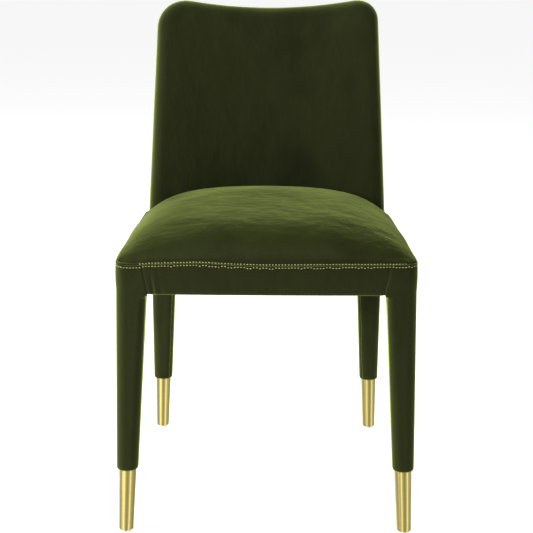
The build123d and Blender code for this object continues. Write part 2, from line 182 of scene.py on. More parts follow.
class ChairFinishSettings(bpy.types.PropertyGroup):
    """Colours of the chair's materials"""

    velvet: FloatVectorProperty(
        name="Velvet", description="Ground colour of the velvet's pile", subtype="COLOR",
        default=(0.0205, 0.0235, 0.0085), size=3, min=0.0, max=1.0,
    )
    # The sheen colour also paints the velvet's base colour: painted sheen, brighter as the surface
    # turns from the eye.
    sheen: FloatVectorProperty(
        name="Velvet Sheen", description="Colour of the light that the pile's tips scatter",
        subtype="COLOR", default=(0.80, 0.98, 0.27), size=3, min=0.0, max=1.0,
    )
    thread: FloatVectorProperty(
        name="Thread", description="Colour of the topstitching", subtype="COLOR",
        default=(0.52, 0.54, 0.16), size=3, min=0.0, max=1.0,
    )
    brass: FloatVectorProperty(
        name="Brass", description="Colour of the brushed ferrules", subtype="COLOR",
        default=(0.60, 0.50, 0.17), size=3, min=0.0, max=1.0,
    )


class ChairStageSettings(bpy.types.PropertyGroup):
    """The camera and the room"""

    camera_height: FloatProperty(
        name="Camera Height", description="Height of the lens above the floor",
        default=0.970, unit="LENGTH",
    )
    camera_distance: FloatProperty(
        name="Camera Distance", description="Distance of the lens in front of the seat",
        default=2.0327, unit="LENGTH",
    )
    tilt: FloatProperty(
        name="Tilt", description="Angle of the camera below level",
        default=math.radians(14.13), unit="ROTATION",
    )
    roll: FloatProperty(
        name="Roll", description="Turn of the camera about its own axis",
        default=math.radians(0.34), unit="ROTATION",
    )
    lens: FloatProperty(
        name="Lens", description="Focal length in millimetres on a 36 mm wide sensor",
        default=91.23,
    )
    room_light: FloatProperty(
        name="Room Light", description="Strength of the even light of the white room",
        default=0.22, min=0.0,
    )
    floor_glow: FloatProperty(
        name="Floor Glow", description="Strength of the light table under the chair",
        default=0.72, min=0.0,
    )


# ---------------------------------------------------------------- shapes as arrays


def bowed_loop(corners, bows, radii, samples=160):
    """The four sides of a round-cornered quadrilateral whose sides bulge by parabolas.

    Side k runs from the middle of corner k's rounding to the middle of the next one's. Each
    rounding is a conic arc whose tangent length is its radius times the tangent of half the
    turn, and whose weight is the cosine of half the turn.
    """
    corners = np.asarray(corners, float)
    sides = []
    for k in range(4):
        start, end = corners[k], corners[(k + 1) % 4]
        chord = end - start
        length = np.hypot(*chord)
        out = np.array([chord[1], -chord[0]]) / length
        sides.append((start, chord, length, out * bows[k]))

    def point(k, t):
        start, chord, _, bow = sides[k % 4]
        t = np.asarray(t, float)[:, None]
        return start + chord * t + 4 * t * (1 - t) * bow

    def rounding(k, t):
        before, after = sides[(k - 1) % 4], sides[k % 4]
        cosine = np.dot(before[1], after[1]) / (before[2] * after[2])
        half = math.acos(np.clip(cosine, -1, 1)) / 2
        reach = radii[k % 4] * math.tan(half)
        a = point(k - 1, [1 - reach / before[2]])
        b = point(k, [reach / after[2]])
        c = corners[k % 4][None]
        t = t[:, None]
        weights = (1 - t) ** 2, 2 * math.cos(half) * t * (1 - t), t**2
        return (weights[0] * a + weights[1] * c + weights[2] * b) / sum(weights), reach

    paths = []
    for k in range(4):
        first, start_reach = rounding(k, np.linspace(0.5, 1, 24))
        last, end_reach = rounding(k + 1, np.linspace(0, 0.5, 24))
        length = sides[k][2]
        middle = point(k, np.linspace(start_reach / length, 1 - end_reach / length, samples))
        paths.append(np.vstack([first[:-1], middle, last[1:]]))
    return paths


def lengths_along(path):
    """How far each point of a flat path lies from its start, measured along it."""
    return np.concatenate([[0], np.cumsum(np.hypot(*np.diff(path, axis=0).T))])


def along(path, share):
    """Points at shares from 0 to 1 of a path's length."""
    run = lengths_along(path)
    where = np.asarray(share) * run[-1]
    return np.stack([np.interp(where, run, path[:, i]) for i in range(path.shape[1])], -1)


def inset_corners(corners, insets):
    """A quadrilateral's corners once each side has moved inwards by its own distance."""
    corners = np.asarray(corners, float)
    chords = np.roll(corners, -1, axis=0) - corners
    inward = np.stack([-chords[:, 1], chords[:, 0]], -1)
    inward /= np.hypot(*inward.T)[:, None]
    base = corners + inward * np.asarray(insets)[:, None]
    moved = []
    for k in range(4):
        a, u = base[k - 1], chords[k - 1]
        b, v = base[k], chords[k]
        across = u[0] * v[1] - u[1] * v[0]
        t = ((b - a)[0] * v[1] - (b - a)[1] * v[0]) / across
        moved.append(a + u * t)
    return np.array(moved)


def nested_grid(half, outer, centre):
    """Places a square grid of 2 half + 1 points a side on nested loops.

    The grid's square ring k lies on loop k of outer, each of its four sides spread evenly
    over that loop's side. The rings inside the last loop are that loop shrunk evenly to the
    centre. Returns the points and each point's ring.
    """
    steps = np.arange(-half, half + 1)
    a, b = np.meshgrid(steps, steps, indexing="ij")
    size = np.maximum(abs(a), abs(b))
    ring = half - size
    points = np.zeros(a.shape + (2,))
    points[:] = centre
    last = len(outer) - 1
    for k in range(half):
        paths = outer[min(k, last)]
        shrink = 1.0 if k <= last else (half - k) / (half - last)
        reach = half - k
        for side in range(4):
            here = [
                (ring == k) & (b == -reach),
                (ring == k) & (a == reach),
                (ring == k) & (b == reach),
                (ring == k) & (a == -reach),
            ][side]
            run = (a[here], b[here], -a[here], -b[here])[side]
            spot = along(paths[side], (run / reach + 1) / 2)
            points[here] = centre + (spot - centre) * shrink
    return points, ring


def grid_faces(rows, columns, flip=False, wrap=False):
    """Quads between neighbouring points of a grid, whose columns may close into a loop."""
    across = np.arange(columns if wrap else columns - 1)
    i, j = np.meshgrid(np.arange(rows - 1), across, indexing="ij")
    k = (j + 1) % columns
    near, far = i * columns, (i + 1) * columns
    quads = np.stack([near + j, far + j, far + k, near + k], -1).reshape(-1, 4)
    return quads[:, ::-1] if flip else quads


def new_mesh(name, points, faces):
    """A smooth-shaded object from an array of points and an array of quads."""
    mesh = bpy.data.meshes.new(name)
    points = np.asarray(points, float).reshape(-1, 3)
    faces = np.asarray(faces, int)
    mesh.vertices.add(len(points))
    mesh.vertices.foreach_set("co", points.ravel())
    mesh.loops.add(faces.size)
    mesh.loops.foreach_set("vertex_index", faces.ravel().astype(np.int32))
    mesh.polygons.add(len(faces))
    starts = np.arange(0, faces.size, faces.shape[1], dtype=np.int32)
    mesh.polygons.foreach_set("loop_start", starts)
    mesh.update(calc_edges=True)
    mesh.validate()
    mesh.polygons.foreach_set("use_smooth", np.ones(len(mesh.polygons), bool))
    piece = bpy.data.objects.new(name, mesh)
    bpy.context.scene.collection.objects.link(piece)
    return piece


def joined(parts):
    """Several (points, quads) pairs as one."""
    points, faces, count = [], [], 0
    for spots, quads in parts:
        spots = np.asarray(spots, float).reshape(-1, 3)
        points.append(spots)
        faces.append(np.asarray(quads) + count)
        count += len(spots)
    return np.vstack(points), np.vstack(faces)


def cleaned(piece, merge=0.0, fill=False, outward=True):
    """Merges points closer than a distance, fills open ends and turns faces outwards."""
    work = bmesh.new()
    work.from_mesh(piece.data)
    if merge:
        bmesh.ops.remove_doubles(work, verts=work.verts, dist=merge)
    if fill:
        rims = [edge for edge in work.edges if edge.is_boundary]
        bmesh.ops.holes_fill(work, edges=rims, sides=0)
    if outward:
        bmesh.ops.recalc_face_normals(work, faces=work.faces)
    for face in work.faces:
        face.smooth = True
    work.to_mesh(piece.data)
    work.free()


def subdivided(piece):
    """Adds a subdivision surface with equal levels in the view and the render."""
    modifier = piece.modifiers.new("smooth", "SUBSURF")
    modifier.levels = modifier.render_levels = 1


def puff_out(points, faces, held, pressure, cap):
    """The points of a square grid of cloth once pressure has swollen it, some points held.

    Runs 20 steps of cloth without gravity, moves each point at most the cap from where it
    started, and averages each move with its neighbours' 40 times, so that no hard crease
    stays.
    """
    scene = bpy.context.scene
    shell = new_mesh("stuffed_shell", points, faces)
    group = shell.vertex_groups.new(name="held")
    group.add([int(i) for i in np.flatnonzero(held)], 1.0, "REPLACE")
    modifier = shell.modifiers.new("stuffing", "CLOTH")
    cloth = modifier.settings
    cloth.vertex_group_mass = "held"
    cloth.quality = 6
    cloth.mass = 0.4
    cloth.tension_stiffness = cloth.compression_stiffness = 25
    cloth.shear_stiffness = 10
    cloth.bending_stiffness = 1.0
    cloth.use_pressure = True
    cloth.uniform_pressure_force = pressure
    cloth.effector_weights.gravity = 0
    modifier.collision_settings.use_collision = False
    modifier.point_cache.frame_start, modifier.point_cache.frame_end = 1, 20
    for step in range(1, 21):
        scene.frame_set(step)
    swollen = shell.evaluated_get(bpy.context.evaluated_depsgraph_get())
    before, after = np.empty(points.size), np.empty(points.size)
    shell.data.vertices.foreach_get("co", before)
    swollen.to_mesh().vertices.foreach_get("co", after)
    swollen.to_mesh_clear()
    bpy.data.objects.remove(shell)
    scene.frame_set(1)
    move = (after - before).reshape(-1, 3)
    size = np.linalg.norm(move, axis=1, keepdims=True)
    move *= cap * np.tanh(size / cap) / np.maximum(size, 1e-9)
    move = move.reshape(points.shape)
    for _ in range(40):
        wide = np.pad(move, ((1, 1), (1, 1), (0, 0)), mode="edge")
        beside = wide[:-2, 1:-1] + wide[2:, 1:-1] + wide[1:-1, :-2] + wide[1:-1, 2:]
        move = (beside + 2 * move) / 6
        move[held] = 0
    return (before + move.ravel()).reshape(-1, 3)


# ---------------------------------------------------------------- the chair's own lines

REAR_CORNER = 0.440
FRONT_BOW = 0.005
SIDE_BOW = 0.003
FRONT_RADIUS = 0.018
REAR_RADIUS = 0.014
BACK_SLOPE = 0.377
FOOT_LEVELLING = 0.08
EARS = (0.85, 1.15)
SEAM_SWELLS = (
    (0.0024, -0.106, 0.042), (-0.0028, -0.212, 0.022),
    (-0.0014, 0.012, 0.065), (0.0012, 0.225, 0.04),
)
FRONT_SEAM_DROP = 0.0013


def seat_corners():
    """The seat outline's square corners, from the front left, anticlockwise from above."""
    seat = bpy.context.scene.chair_seat
    near, far = FRONT + FRONT_BOW, FRONT + REAR_CORNER
    wide, narrow = seat.front_half, seat.rear_half
    return [(-wide, near), (wide, near), (narrow, far), (-narrow, far)]


def seat_loop(inset=0.0):
    """The seat's outline, drawn in by an inset: front, right, rear and left sides."""
    rear_bow = float(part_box("apron_cover_rear")[1][1]) + 0.0015 - (FRONT + REAR_CORNER)
    corners = inset_corners(seat_corners(), [inset] * 4)
    radii = [max(FRONT_RADIUS - inset, 0.002)] * 2 + [max(REAR_RADIUS - inset, 0.002)] * 2
    return bowed_loop(corners, [FRONT_BOW, SIDE_BOW, rear_bow, SIDE_BOW], radii, 400)


def seam_wave(x, y):
    """How far the hand-sewn seam strays from level.

    Along the front it is a sum of bell curves, each with its height, place and width, less
    a drop. By another bell curve this fades to a slow sine wave along the sides.
    """
    front = np.exp(-((y - FRONT) / 0.03) ** 2)
    wave = sum(
        height * np.exp(-(((x - spot) / width) ** 2)) for height, spot, width in SEAM_SWELLS
    )
    side = 0.0008 * np.sin((y - FRONT) * 38.0 + np.sign(x))
    return front * (wave - FRONT_SEAM_DROP) + (1 - front) * side


def back_depth(x, depth):
    """Distance behind the upright plane of a point at a depth in the curved back."""
    radius = bpy.context.scene.chair_back.curve_radius
    return np.sqrt((radius + depth) ** 2 - x**2) - radius


def back_foot():
    """The Y of the back's front face at the seam, from the rear of the chair's box."""
    back = bpy.context.scene.chair_back
    reach = BACK_SLOPE * math.sin(back.lean) + back.thickness * math.cos(back.lean)
    return CAD_BOX[1][1] - reach


def back_outline(inset=0.0, low=0.0):
    """The back's outline laid flat, drawn in by an inset: foot, right, top and left sides."""
    back = bpy.context.scene.chair_back
    taper = (back.foot_half - back.top_half) / back.top_corner
    foot = back.foot_half - low * taper
    corners = [
        (-foot, low), (foot, low),
        (back.top_half, back.top_corner), (-back.top_half, back.top_corner),
    ]
    corners = inset_corners(corners, [inset * 0.1, inset, inset, inset])
    radii = [0.004] * 2 + [max(back.corner_radius * ear - inset, 0.01) for ear in EARS]
    return bowed_loop(corners, [0, 0, back.top_centre - back.top_corner, 0], radii, 200)


def on_back(x, rise, depth):
    """Points of the leaning back, from their place on its flat outline and their depth.

    The depth is measured from the hollow front, the whole leans back about its foot, and
    the lowest part slides up by the lean's tangent, so that the foot ends level.
    """
    lean = bpy.context.scene.chair_back.lean
    behind = back_depth(x, depth)
    rise = rise + behind * math.tan(lean) * np.clip(1 - rise / FOOT_LEVELLING, 0, 1)
    y = back_foot() + rise * math.sin(lean) + behind * math.cos(lean)
    z = SEAM + rise * math.cos(lean) - behind * math.sin(lean)
    return np.stack([x, y, z], -1)


# ---------------------------------------------------------------- materials


def new_material(name):
    """A material with an empty node tree but for its shader and output."""
    material = bpy.data.materials.new(name)
    material.use_nodes = True
    tree = material.node_tree
    tree.nodes.clear()
    output = tree.nodes.new("ShaderNodeOutputMaterial")
    shader = tree.nodes.new("ShaderNodeBsdfPrincipled")
    tree.links.new(shader.outputs["BSDF"], output.inputs["Surface"])
    return material, tree, shader


def noise(tree, scale, detail=2.0, stretch=(1, 1, 1), roughness=0.5):
    """Noise in the object's own coordinates, finer or coarser along each axis."""
    where = tree.nodes.new("ShaderNodeTexCoord")
    mapping = tree.nodes.new("ShaderNodeMapping")
    mapping.inputs["Scale"].default_value = stretch
    texture = tree.nodes.new("ShaderNodeTexNoise")
    texture.inputs["Scale"].default_value = scale
    texture.inputs["Detail"].default_value = detail
    texture.inputs["Roughness"].default_value = roughness
    tree.links.new(where.outputs["Object"], mapping.inputs["Vector"])
    tree.links.new(mapping.outputs["Vector"], texture.inputs["Vector"])
    return texture.outputs["Fac"]


def ramp(tree, source, stops):
    """Colours along a value, as (position, colour) pairs."""
    node = tree.nodes.new("ShaderNodeValToRGB")
    elements = node.color_ramp.elements
    for index, (position, colour) in enumerate(stops):
        element = elements[index] if index < 2 else elements.new(position)
        element.position = position
        element.color = (*colour, 1)
    tree.links.new(source, node.inputs["Fac"])
    return node.outputs["Color"]


def bump(tree, shader, source, distance, strength, under=None):
    """Relief from a value, on top of another relief if one is given."""
    node = tree.nodes.new("ShaderNodeBump")
    node.inputs["Distance"].default_value = distance
    node.inputs["Strength"].default_value = strength
    tree.links.new(source, node.inputs["Height"])
    if under is not None:
        tree.links.new(under, node.inputs["Normal"])
    tree.links.new(node.outputs["Normal"], shader.inputs["Normal"])
    return node.outputs["Normal"]


def coloured(tree, shader, source, stops, roughness):
    """Links a ramp of colours over a value to the base colour, and sets the roughness."""
    tree.links.new(ramp(tree, source, stops), shader.inputs["Base Color"])
    shader.inputs["Roughness"].default_value = roughness


def grey(level):
    """A colour with no hue."""
    return (level,) * 3


def shaded(colour, factor):
    """A colour made lighter or darker."""
    return tuple(min(1.0, c * factor) for c in colour)


def mixed(tree, first, second):
    """Two colours multiplied."""
    node = tree.nodes.new("ShaderNodeMix")
    node.data_type = "RGBA"
    node.blend_type = "MULTIPLY"
    wanted = ("Factor_Float", "A_Color", "B_Color")
    factor, one, other = (s for s in node.inputs if s.identifier in wanted)
    factor.default_value = 1.0
    tree.links.new(first, one)
    tree.links.new(second, other)
    return next(s for s in node.outputs if s.identifier == "Result_Color")


def velvet(name, lift, painted_sheen_steps):
    """Cut-pile velvet with a painted sheen: the base colour is dark where the surface faces the eye
    and painted brighter as it turns away, where the pile's sides would show.

    The colour rises with the turn of the surface away from the eye, from the lifted ground to the
    sheen times each painted sheen step, times brushed patches and a fine speckle. This painted
    sheen stands in for the light that the pile scatters; the shader's own sheen on top answers to
    the lights.
    """
    finish = bpy.context.scene.chair_finish
    material, tree, shader = new_material(name)
    ground, sheen = tuple(finish.velvet), tuple(finish.sheen)
    turned_away = tree.nodes.new("ShaderNodeLayerWeight")
    turned_away.inputs["Blend"].default_value = 0.5
    # Painted sheen: Layer Weight Facing ramps the base colour from the dark ground face-on to
    # bright sheen colours at grazing angles.
    pile = ramp(tree, turned_away.outputs["Facing"], [
        (0.0, shaded(ground, lift)), (0.22, shaded(ground, 1.5 * lift)),
        (0.46, shaded(sheen, painted_sheen_steps[0])), (0.68, shaded(sheen, painted_sheen_steps[1])),
        (0.83, shaded(sheen, painted_sheen_steps[2])), (1.0, shaded(sheen, painted_sheen_steps[3])),
    ])
    brushed = noise(tree, 5.5, 3.5, (1, 1, 0.55), 0.6)
    patches = ramp(tree, brushed, [
        (0.32, (0.62, 0.62, 0.66)), (0.5, grey(1)), (0.70, (1.0, 1.0, 0.95)),
    ])
    speckle = ramp(tree, noise(tree, 700, 2.0), [(0.3, grey(0.78)), (0.7, grey(1))])
    tree.links.new(mixed(tree, mixed(tree, pile, patches), speckle), shader.inputs["Base Color"])
    shader.inputs["Roughness"].default_value = 1.0
    shader.inputs["Specular IOR Level"].default_value = 0.0
    shader.inputs["Sheen Weight"].default_value = 0.32
    shader.inputs["Sheen Roughness"].default_value = 0.24
    shader.inputs["Sheen Tint"].default_value = (*sheen, 1)
    nap = bump(tree, shader, noise(tree, 22, 3.0, (1, 1, 0.4)), 0.010, 0.5)
    bump(tree, shader, noise(tree, 1300, 1.0), 0.0008, 0.5, nap)
    return material


# Per place, the lift of the ground and the painted sheen steps: lit and shaded copies of one
# velvet, darkest on the seat and lightest on the back, set to how the light falls there.
PAINTED_SHEEN_BY_PLACE = {
    "seat": (1.0, (0.034, 0.042, 0.090, 0.30)),
    "back": (1.0, (0.085, 0.190, 0.42, 0.90)),
    "frame": (1.0, (0.055, 0.120, 0.32, 0.80)),
    # The fold copy is painted lighter: a painted highlight along the seam ridges.
    "fold": (2.1, (0.090, 0.160, 0.50, 0.95)),
}


def velvet_with_painted_sheen(place):
    """The velvet on one part of the chair, with painted sheen steps of its own: a lighter or darker
    copy of one velvet, set to how the light falls on that part.
    """
    return material("moss_velvet_" + place, velvet, *PAINTED_SHEEN_BY_PLACE[place])


def thread(name):
    """Twisted polyester thread."""
    material, tree, shader = new_material(name)
    colour = tuple(bpy.context.scene.chair_finish.thread)
    twist = noise(tree, 2600, 1.0)
    coloured(tree, shader, twist, [(0.35, shaded(colour, 0.72)), (0.65, shaded(colour, 1.25))], 0.6)
    shader.inputs["Sheen Weight"].default_value = 0.4
    bump(tree, shader, twist, 0.0002, 0.5)
    return material


def brass(name):
    """Brushed brass, with fine lines round the cone and lengthwise bands of painted reflection:
    lighter and darker stripes in the base colour standing in for the room mirrored in the metal.
    """
    material, tree, shader = new_material(name)
    colour = tuple(bpy.context.scene.chair_finish.brass)
    lines = noise(tree, 9, 3.0, (1, 1, 220), 0.6)
    around = tree.nodes.new("ShaderNodeUVMap")
    around.uv_map = "wrap"
    split = tree.nodes.new("ShaderNodeSeparateXYZ")
    tree.links.new(around.outputs["UV"], split.inputs["Vector"])
    # Painted reflection: dark, middling and bright lengthwise bands round the cone, fixed on the
    # wrap UV, stand in for the lights and floor mirrored in the brass.
    dark, mid, light = shaded(colour, 0.38), shaded(colour, 0.66), shaded(colour, 1.55)
    painted_reflection_bands = ramp(tree, split.outputs["X"], [
        (0.0, dark), (0.06, light), (0.12, dark), (0.22, mid), (0.30, dark), (0.38, light),
        (0.46, mid), (0.505, dark), (0.535, light), (0.575, mid), (0.635, dark), (0.685, mid),
        (0.705, light), (0.73, mid), (0.765, dark), (0.80, mid), (0.82, light), (0.845, mid),
        (0.90, dark), (1.0, dark),
    ])
    brushing = ramp(tree, lines, [(0.3, grey(0.86)), (0.7, grey(1))])
    tree.links.new(mixed(tree, painted_reflection_bands, brushing), shader.inputs["Base Color"])
    shader.inputs["Metallic"].default_value = 1.0
    shader.inputs["Roughness"].default_value = 0.32
    shader.inputs["Anisotropic"].default_value = 0.95
    shader.inputs["Anisotropic Rotation"].default_value = 0.25
    round_cone = tree.nodes.new("ShaderNodeTangent")
    round_cone.direction_type = "UV_MAP"
    round_cone.uv_map = "wrap"
    tree.links.new(round_cone.outputs["Tangent"], shader.inputs["Tangent"])
    bump(tree, shader, lines, 0.0002, 0.12)
    return material


def nylon(name):
    """Moulded white nylon with a faint flow mottle."""
    material, tree, shader = new_material(name)
    mottle = [(0.3, (0.80, 0.80, 0.77)), (0.7, (0.90, 0.90, 0.88))]
    coloured(tree, shader, noise(tree, 90, 3.0), mottle, 0.45)
    shader.inputs["Subsurface Weight"].default_value = 0.1
    bump(tree, shader, noise(tree, 900, 1.0), 0.0001, 0.3)
    return material


def timber(name, colour, stretch):
    """Planed wood: grain stretched along one axis, with pores."""
    material, tree, shader = new_material(name)
    grain = noise(tree, 26, 6.0, stretch, 0.6)
    rings = [(0.35, shaded(colour, 0.72)), (0.5, colour), (0.66, shaded(colour, 1.18))]
    coloured(tree, shader, grain, rings, 0.62)
    bump(tree, shader, grain, 0.0006, 0.3)
    return material


def plied(name, colour):
    """Plywood: a turned face veneer over alternating plies."""
    material, tree, shader = new_material(name)
    grain = noise(tree, 34, 5.0, (1, 6, 0.25), 0.6)
    coloured(tree, shader, grain, [(0.3, shaded(colour, 0.8)), (0.7, shaded(colour, 1.15))], 0.68)
    bump(tree, shader, grain, 0.0004, 0.25)
    return material


def woven(name, dark, light, threads):
    """Coarse plain weave from two crossing waves."""
    material, tree, shader = new_material(name)
    where = tree.nodes.new("ShaderNodeTexCoord")
    waves = []
    for direction in ("X", "Y"):
        wave = tree.nodes.new("ShaderNodeTexWave")
        wave.bands_direction = direction
        wave.inputs["Scale"].default_value = threads
        tree.links.new(where.outputs["Object"], wave.inputs["Vector"])
        waves.append(wave.outputs["Fac"])
    cross = tree.nodes.new("ShaderNodeMath")
    cross.operation = "MULTIPLY"
    tree.links.new(waves[0], cross.inputs[0])
    tree.links.new(waves[1], cross.inputs[1])
    coloured(tree, shader, cross.outputs[0], [(0.1, dark), (0.7, light)], 0.85)
    bump(tree, shader, cross.outputs[0], 0.0004, 0.6)
    return material


def felted(name):
    """Black spun-bonded cloth: pressed fibres with small embossed dots."""
    material, tree, shader = new_material(name)
    where = tree.nodes.new("ShaderNodeTexCoord")
    dots = tree.nodes.new("ShaderNodeTexVoronoi")
    dots.inputs["Scale"].default_value = 420
    dots.inputs["Randomness"].default_value = 0.25
    tree.links.new(where.outputs["Object"], dots.inputs["Vector"])
    fibres = [(0.3, (0.008, 0.008, 0.009)), (0.7, (0.028, 0.028, 0.03))]
    coloured(tree, shader, noise(tree, 160, 4.0), fibres, 0.9)
    bump(tree, shader, dots.outputs["Distance"], 0.0003, 0.5)
    return material


def zinc(name):
    """Zinc-plated steel with a faint yellow bloom."""
    material, tree, shader = new_material(name)
    bloom = [(0.3, (0.52, 0.52, 0.5)), (0.7, (0.68, 0.68, 0.7))]
    coloured(tree, shader, noise(tree, 240, 3.0), bloom, 0.35)
    shader.inputs["Metallic"].default_value = 1.0
    return material


def material(name, make, *words):
    """A material by name, made the first time it is asked for."""
    return bpy.data.materials.get(name) or make(name, *words)


def dress(piece, finish):
    """Gives a piece one material in every slot."""
    if piece.data.materials:
        for index in range(len(piece.data.materials)):
            piece.data.materials[index] = finish
    else:
        piece.data.materials.append(finish)


def finished(piece, finish):
    """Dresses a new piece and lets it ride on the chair."""
    dress(piece, finish)
    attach(piece, "root")


def sewn_on(piece, node):
    """Gives a skin of velvet its thickness and puts it in the place of a frame node."""
    thick = piece.modifiers.new("cloth", "SOLIDIFY")
    thick.thickness = 0.0012
    thick.offset = -1.0
    finished(piece, velvet_with_painted_sheen("frame"))
    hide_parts(node)


# ---------------------------------------------------------------- seat


CROWN_SWELL = 0.035
SEAT_RINGS = 56
SEAT_STEPS = np.array([0, 0.7, 1.5, 2.4, 3.3, 4.3, 5.5, 7.0, 9.0, 11.5, 14.5]) / 1000
SEAT_MIDDLE = 0.215


def seat_rise(x, insets):
    """Height of the seat above its seam from the distances to its front, sides and back.

    The product over the edges of one minus the exponential of minus distance over roll,
    each raised to a power that makes the roll start more steeply, times the crown.
    """
    seat = bpy.context.scene.chair_seat
    front, side, rear = insets

    def roll(distance, run, power):
        return (1 - np.exp(-np.maximum(distance, 0) / run)) ** power

    shape = roll(front, seat.front_roll, 0.74)
    shape = shape * roll(side, seat.side_roll, 0.92)
    shape = shape * roll(rear, 0.0022, 0.5)
    swell = 1 + CROWN_SWELL * (1 - (x / seat.front_half) ** 2)
    return seat.crown * shape * swell


def make_seat_cushion():
    """The crowned seat: nested loops from the seam inwards, raised by seat_rise.

    A groove under the stitches and the seam's own wave are added near the edge, and the
    rear edge slides back as it rises, along the leaning back.
    """
    seat, back = bpy.context.scene.chair_seat, bpy.context.scene.chair_back
    foot = back_foot()
    tip = float(back_depth(back.foot_half - 0.001, 0.0))
    corners = seat_corners()[:2] + [
        (back.foot_half, foot + tip), (-back.foot_half, foot + tip),
    ]
    loops = []
    for step in SEAT_STEPS:
        radii = [max(FRONT_RADIUS - step, 0.006)] * 2 + [0.004] * 2
        drawn_in = inset_corners(corners, [step] * 4)
        loops.append(bowed_loop(drawn_in, [FRONT_BOW, SIDE_BOW, -tip, SIDE_BOW], radii, 300))
    points, ring = nested_grid(SEAT_RINGS, loops, np.array([0.0, FRONT + SEAT_MIDDLE]))
    x, y = points[..., 0], points[..., 1]

    share = (y - FRONT) / (foot + tip - FRONT)
    edge = seat.front_half + (back.foot_half - seat.front_half) * share
    edge = edge + 4 * SIDE_BOW * share * (1 - share)
    front = y - (FRONT + FRONT_BOW * (x / seat.front_half) ** 2)
    side = edge - abs(x)
    rear = foot + back_depth(x, 0.0) - y
    last = len(SEAT_STEPS) - 1
    known = np.where(ring <= last, SEAT_STEPS[np.minimum(ring, last)], 1.0)
    corner = np.minimum(np.minimum(front, side), rear)
    scale = np.clip(known / np.maximum(corner, 1e-6), 0, 1)
    rise = seat_rise(x, (front * scale, side * scale, rear * scale))
    groove = np.exp(-(((known - seat.stitch_gap * 0.75) / 0.0013) ** 2))
    away = 1 / (1 + np.exp((0.02 - rear) / 0.004))
    rise = rise - 0.0007 * groove * away
    rise = rise + seam_wave(x, y) * np.exp(-known / 0.006) * away
    y = y + rise * math.tan(back.lean) * np.exp(-np.maximum(rear, 0) / 0.03)
    top = np.stack([x, y, SEAM + rise], -1)
    faces = grid_faces(*ring.shape)
    under = top.copy()
    under[..., 2] = SEAM - 0.0015
    under[ring == 0] = top[ring == 0]
    swollen = puff_out(top, faces, ring <= 5, 3.0, seat.puff)
    piece = new_mesh("seat_cushion", *joined([(swollen, faces), (under, faces[:, ::-1])]))
    cleaned(piece, merge=2e-6)
    subdivided(piece)
    finished(piece, velvet_with_painted_sheen("seat"))
    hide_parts("seat_top_cover", "seat_wadding", "seat_foam")


# ---------------------------------------------------------------- back


BACK_RINGS = 48
BACK_OVERLAP = 0.005
REAR_EDGE_ROLL = 0.009


def back_surface(profile):
    """One face of the back on nested loops, from a profile of (inset, depth) pairs.

    Also gives each point's ring and how far it lies past the profile, from 0 to 1.
    """
    insets, depths = np.array(profile).T
    loops = [back_outline(inset, -BACK_OVERLAP) for inset in insets]
    points, ring = nested_grid(BACK_RINGS, loops, np.array([0.0, 0.2]))
    last = len(insets) - 1
    inner = np.clip((ring - last) / (BACK_RINGS - last), 0, 1)
    return points, depths[np.minimum(ring, last)], ring, inner


def make_back_cushion():
    """The curved back: a padded front rolled round its edges to a closing seam, and a rear
    panel with a smaller roll, both on nested loops of the same outline."""
    back = bpy.context.scene.chair_back
    seam, roll, full = back.seam_depth, back.edge_roll, back.thickness
    turn = np.linspace(0, math.pi / 2, 9)
    wall = [(0.0009, seam), (0.0, seam - 0.0014), (0.0, seam - 0.004)]
    bend = [(roll * (1 - math.cos(a)), roll * (1 - math.sin(a))) for a in turn]
    points, depth, ring, inner = back_surface(wall + bend)
    swell = np.sin(np.clip(inner / 0.55, 0, 1) * math.pi / 2)
    front = on_back(points[..., 0], points[..., 1], depth - back.crown * swell)
    faces = grid_faces(*ring.shape)
    swollen = puff_out(front, faces, ring <= 6, 2.0, 0.003)

    edge = REAR_EDGE_ROLL
    wall = [(0.0009, seam), (0.0, seam + 0.0012)]
    bend = [(edge * (1 - math.cos(a)), full - edge + edge * math.sin(a)) for a in turn]
    points, depth, _, _ = back_surface(wall + bend)
    rear = on_back(points[..., 0], points[..., 1], depth)
    piece = new_mesh("back_cushion", *joined([(swollen, faces), (rear, faces[:, ::-1])]))
    cleaned(piece, merge=2e-5)
    subdivided(piece)
    finished(piece, velvet_with_painted_sheen("back"))
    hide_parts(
        "back_inside_cover", "back_front_foam", "back_rear_pad", "back_outside_cover"
    )


# ---------------------------------------------------------------- aprons and sleeves

# Each leg's inner face under the apron, its seam's two ends on the front or rear apron, its
# face on the side apron, the middle of its sleeve's foot and the middle of its ferrule's.
LEGS = {
    "front": {
        "top_in": 0.189, "seam": (0.1945, 0.185), "back_in": 0.050,
        "foot": (0.2245, 0.0245), "ferrule": (0.229, 0.024),
    },
    "rear": {
        "top_in": 0.1668, "seam": (0.172, 0.164), "back_in": 0.4035,
        "foot": (0.2008, 0.4843), "ferrule": (0.205, 0.506),
    },
}
SLEEVE_FOOT = 0.035
SLEEVE_FOOT_RADIUS = 0.015
UNDER_APRON_RADIUS = 0.009
LEG_COLUMNS = 20
PANEL_COLUMNS = 330
SKIN = 0.0001


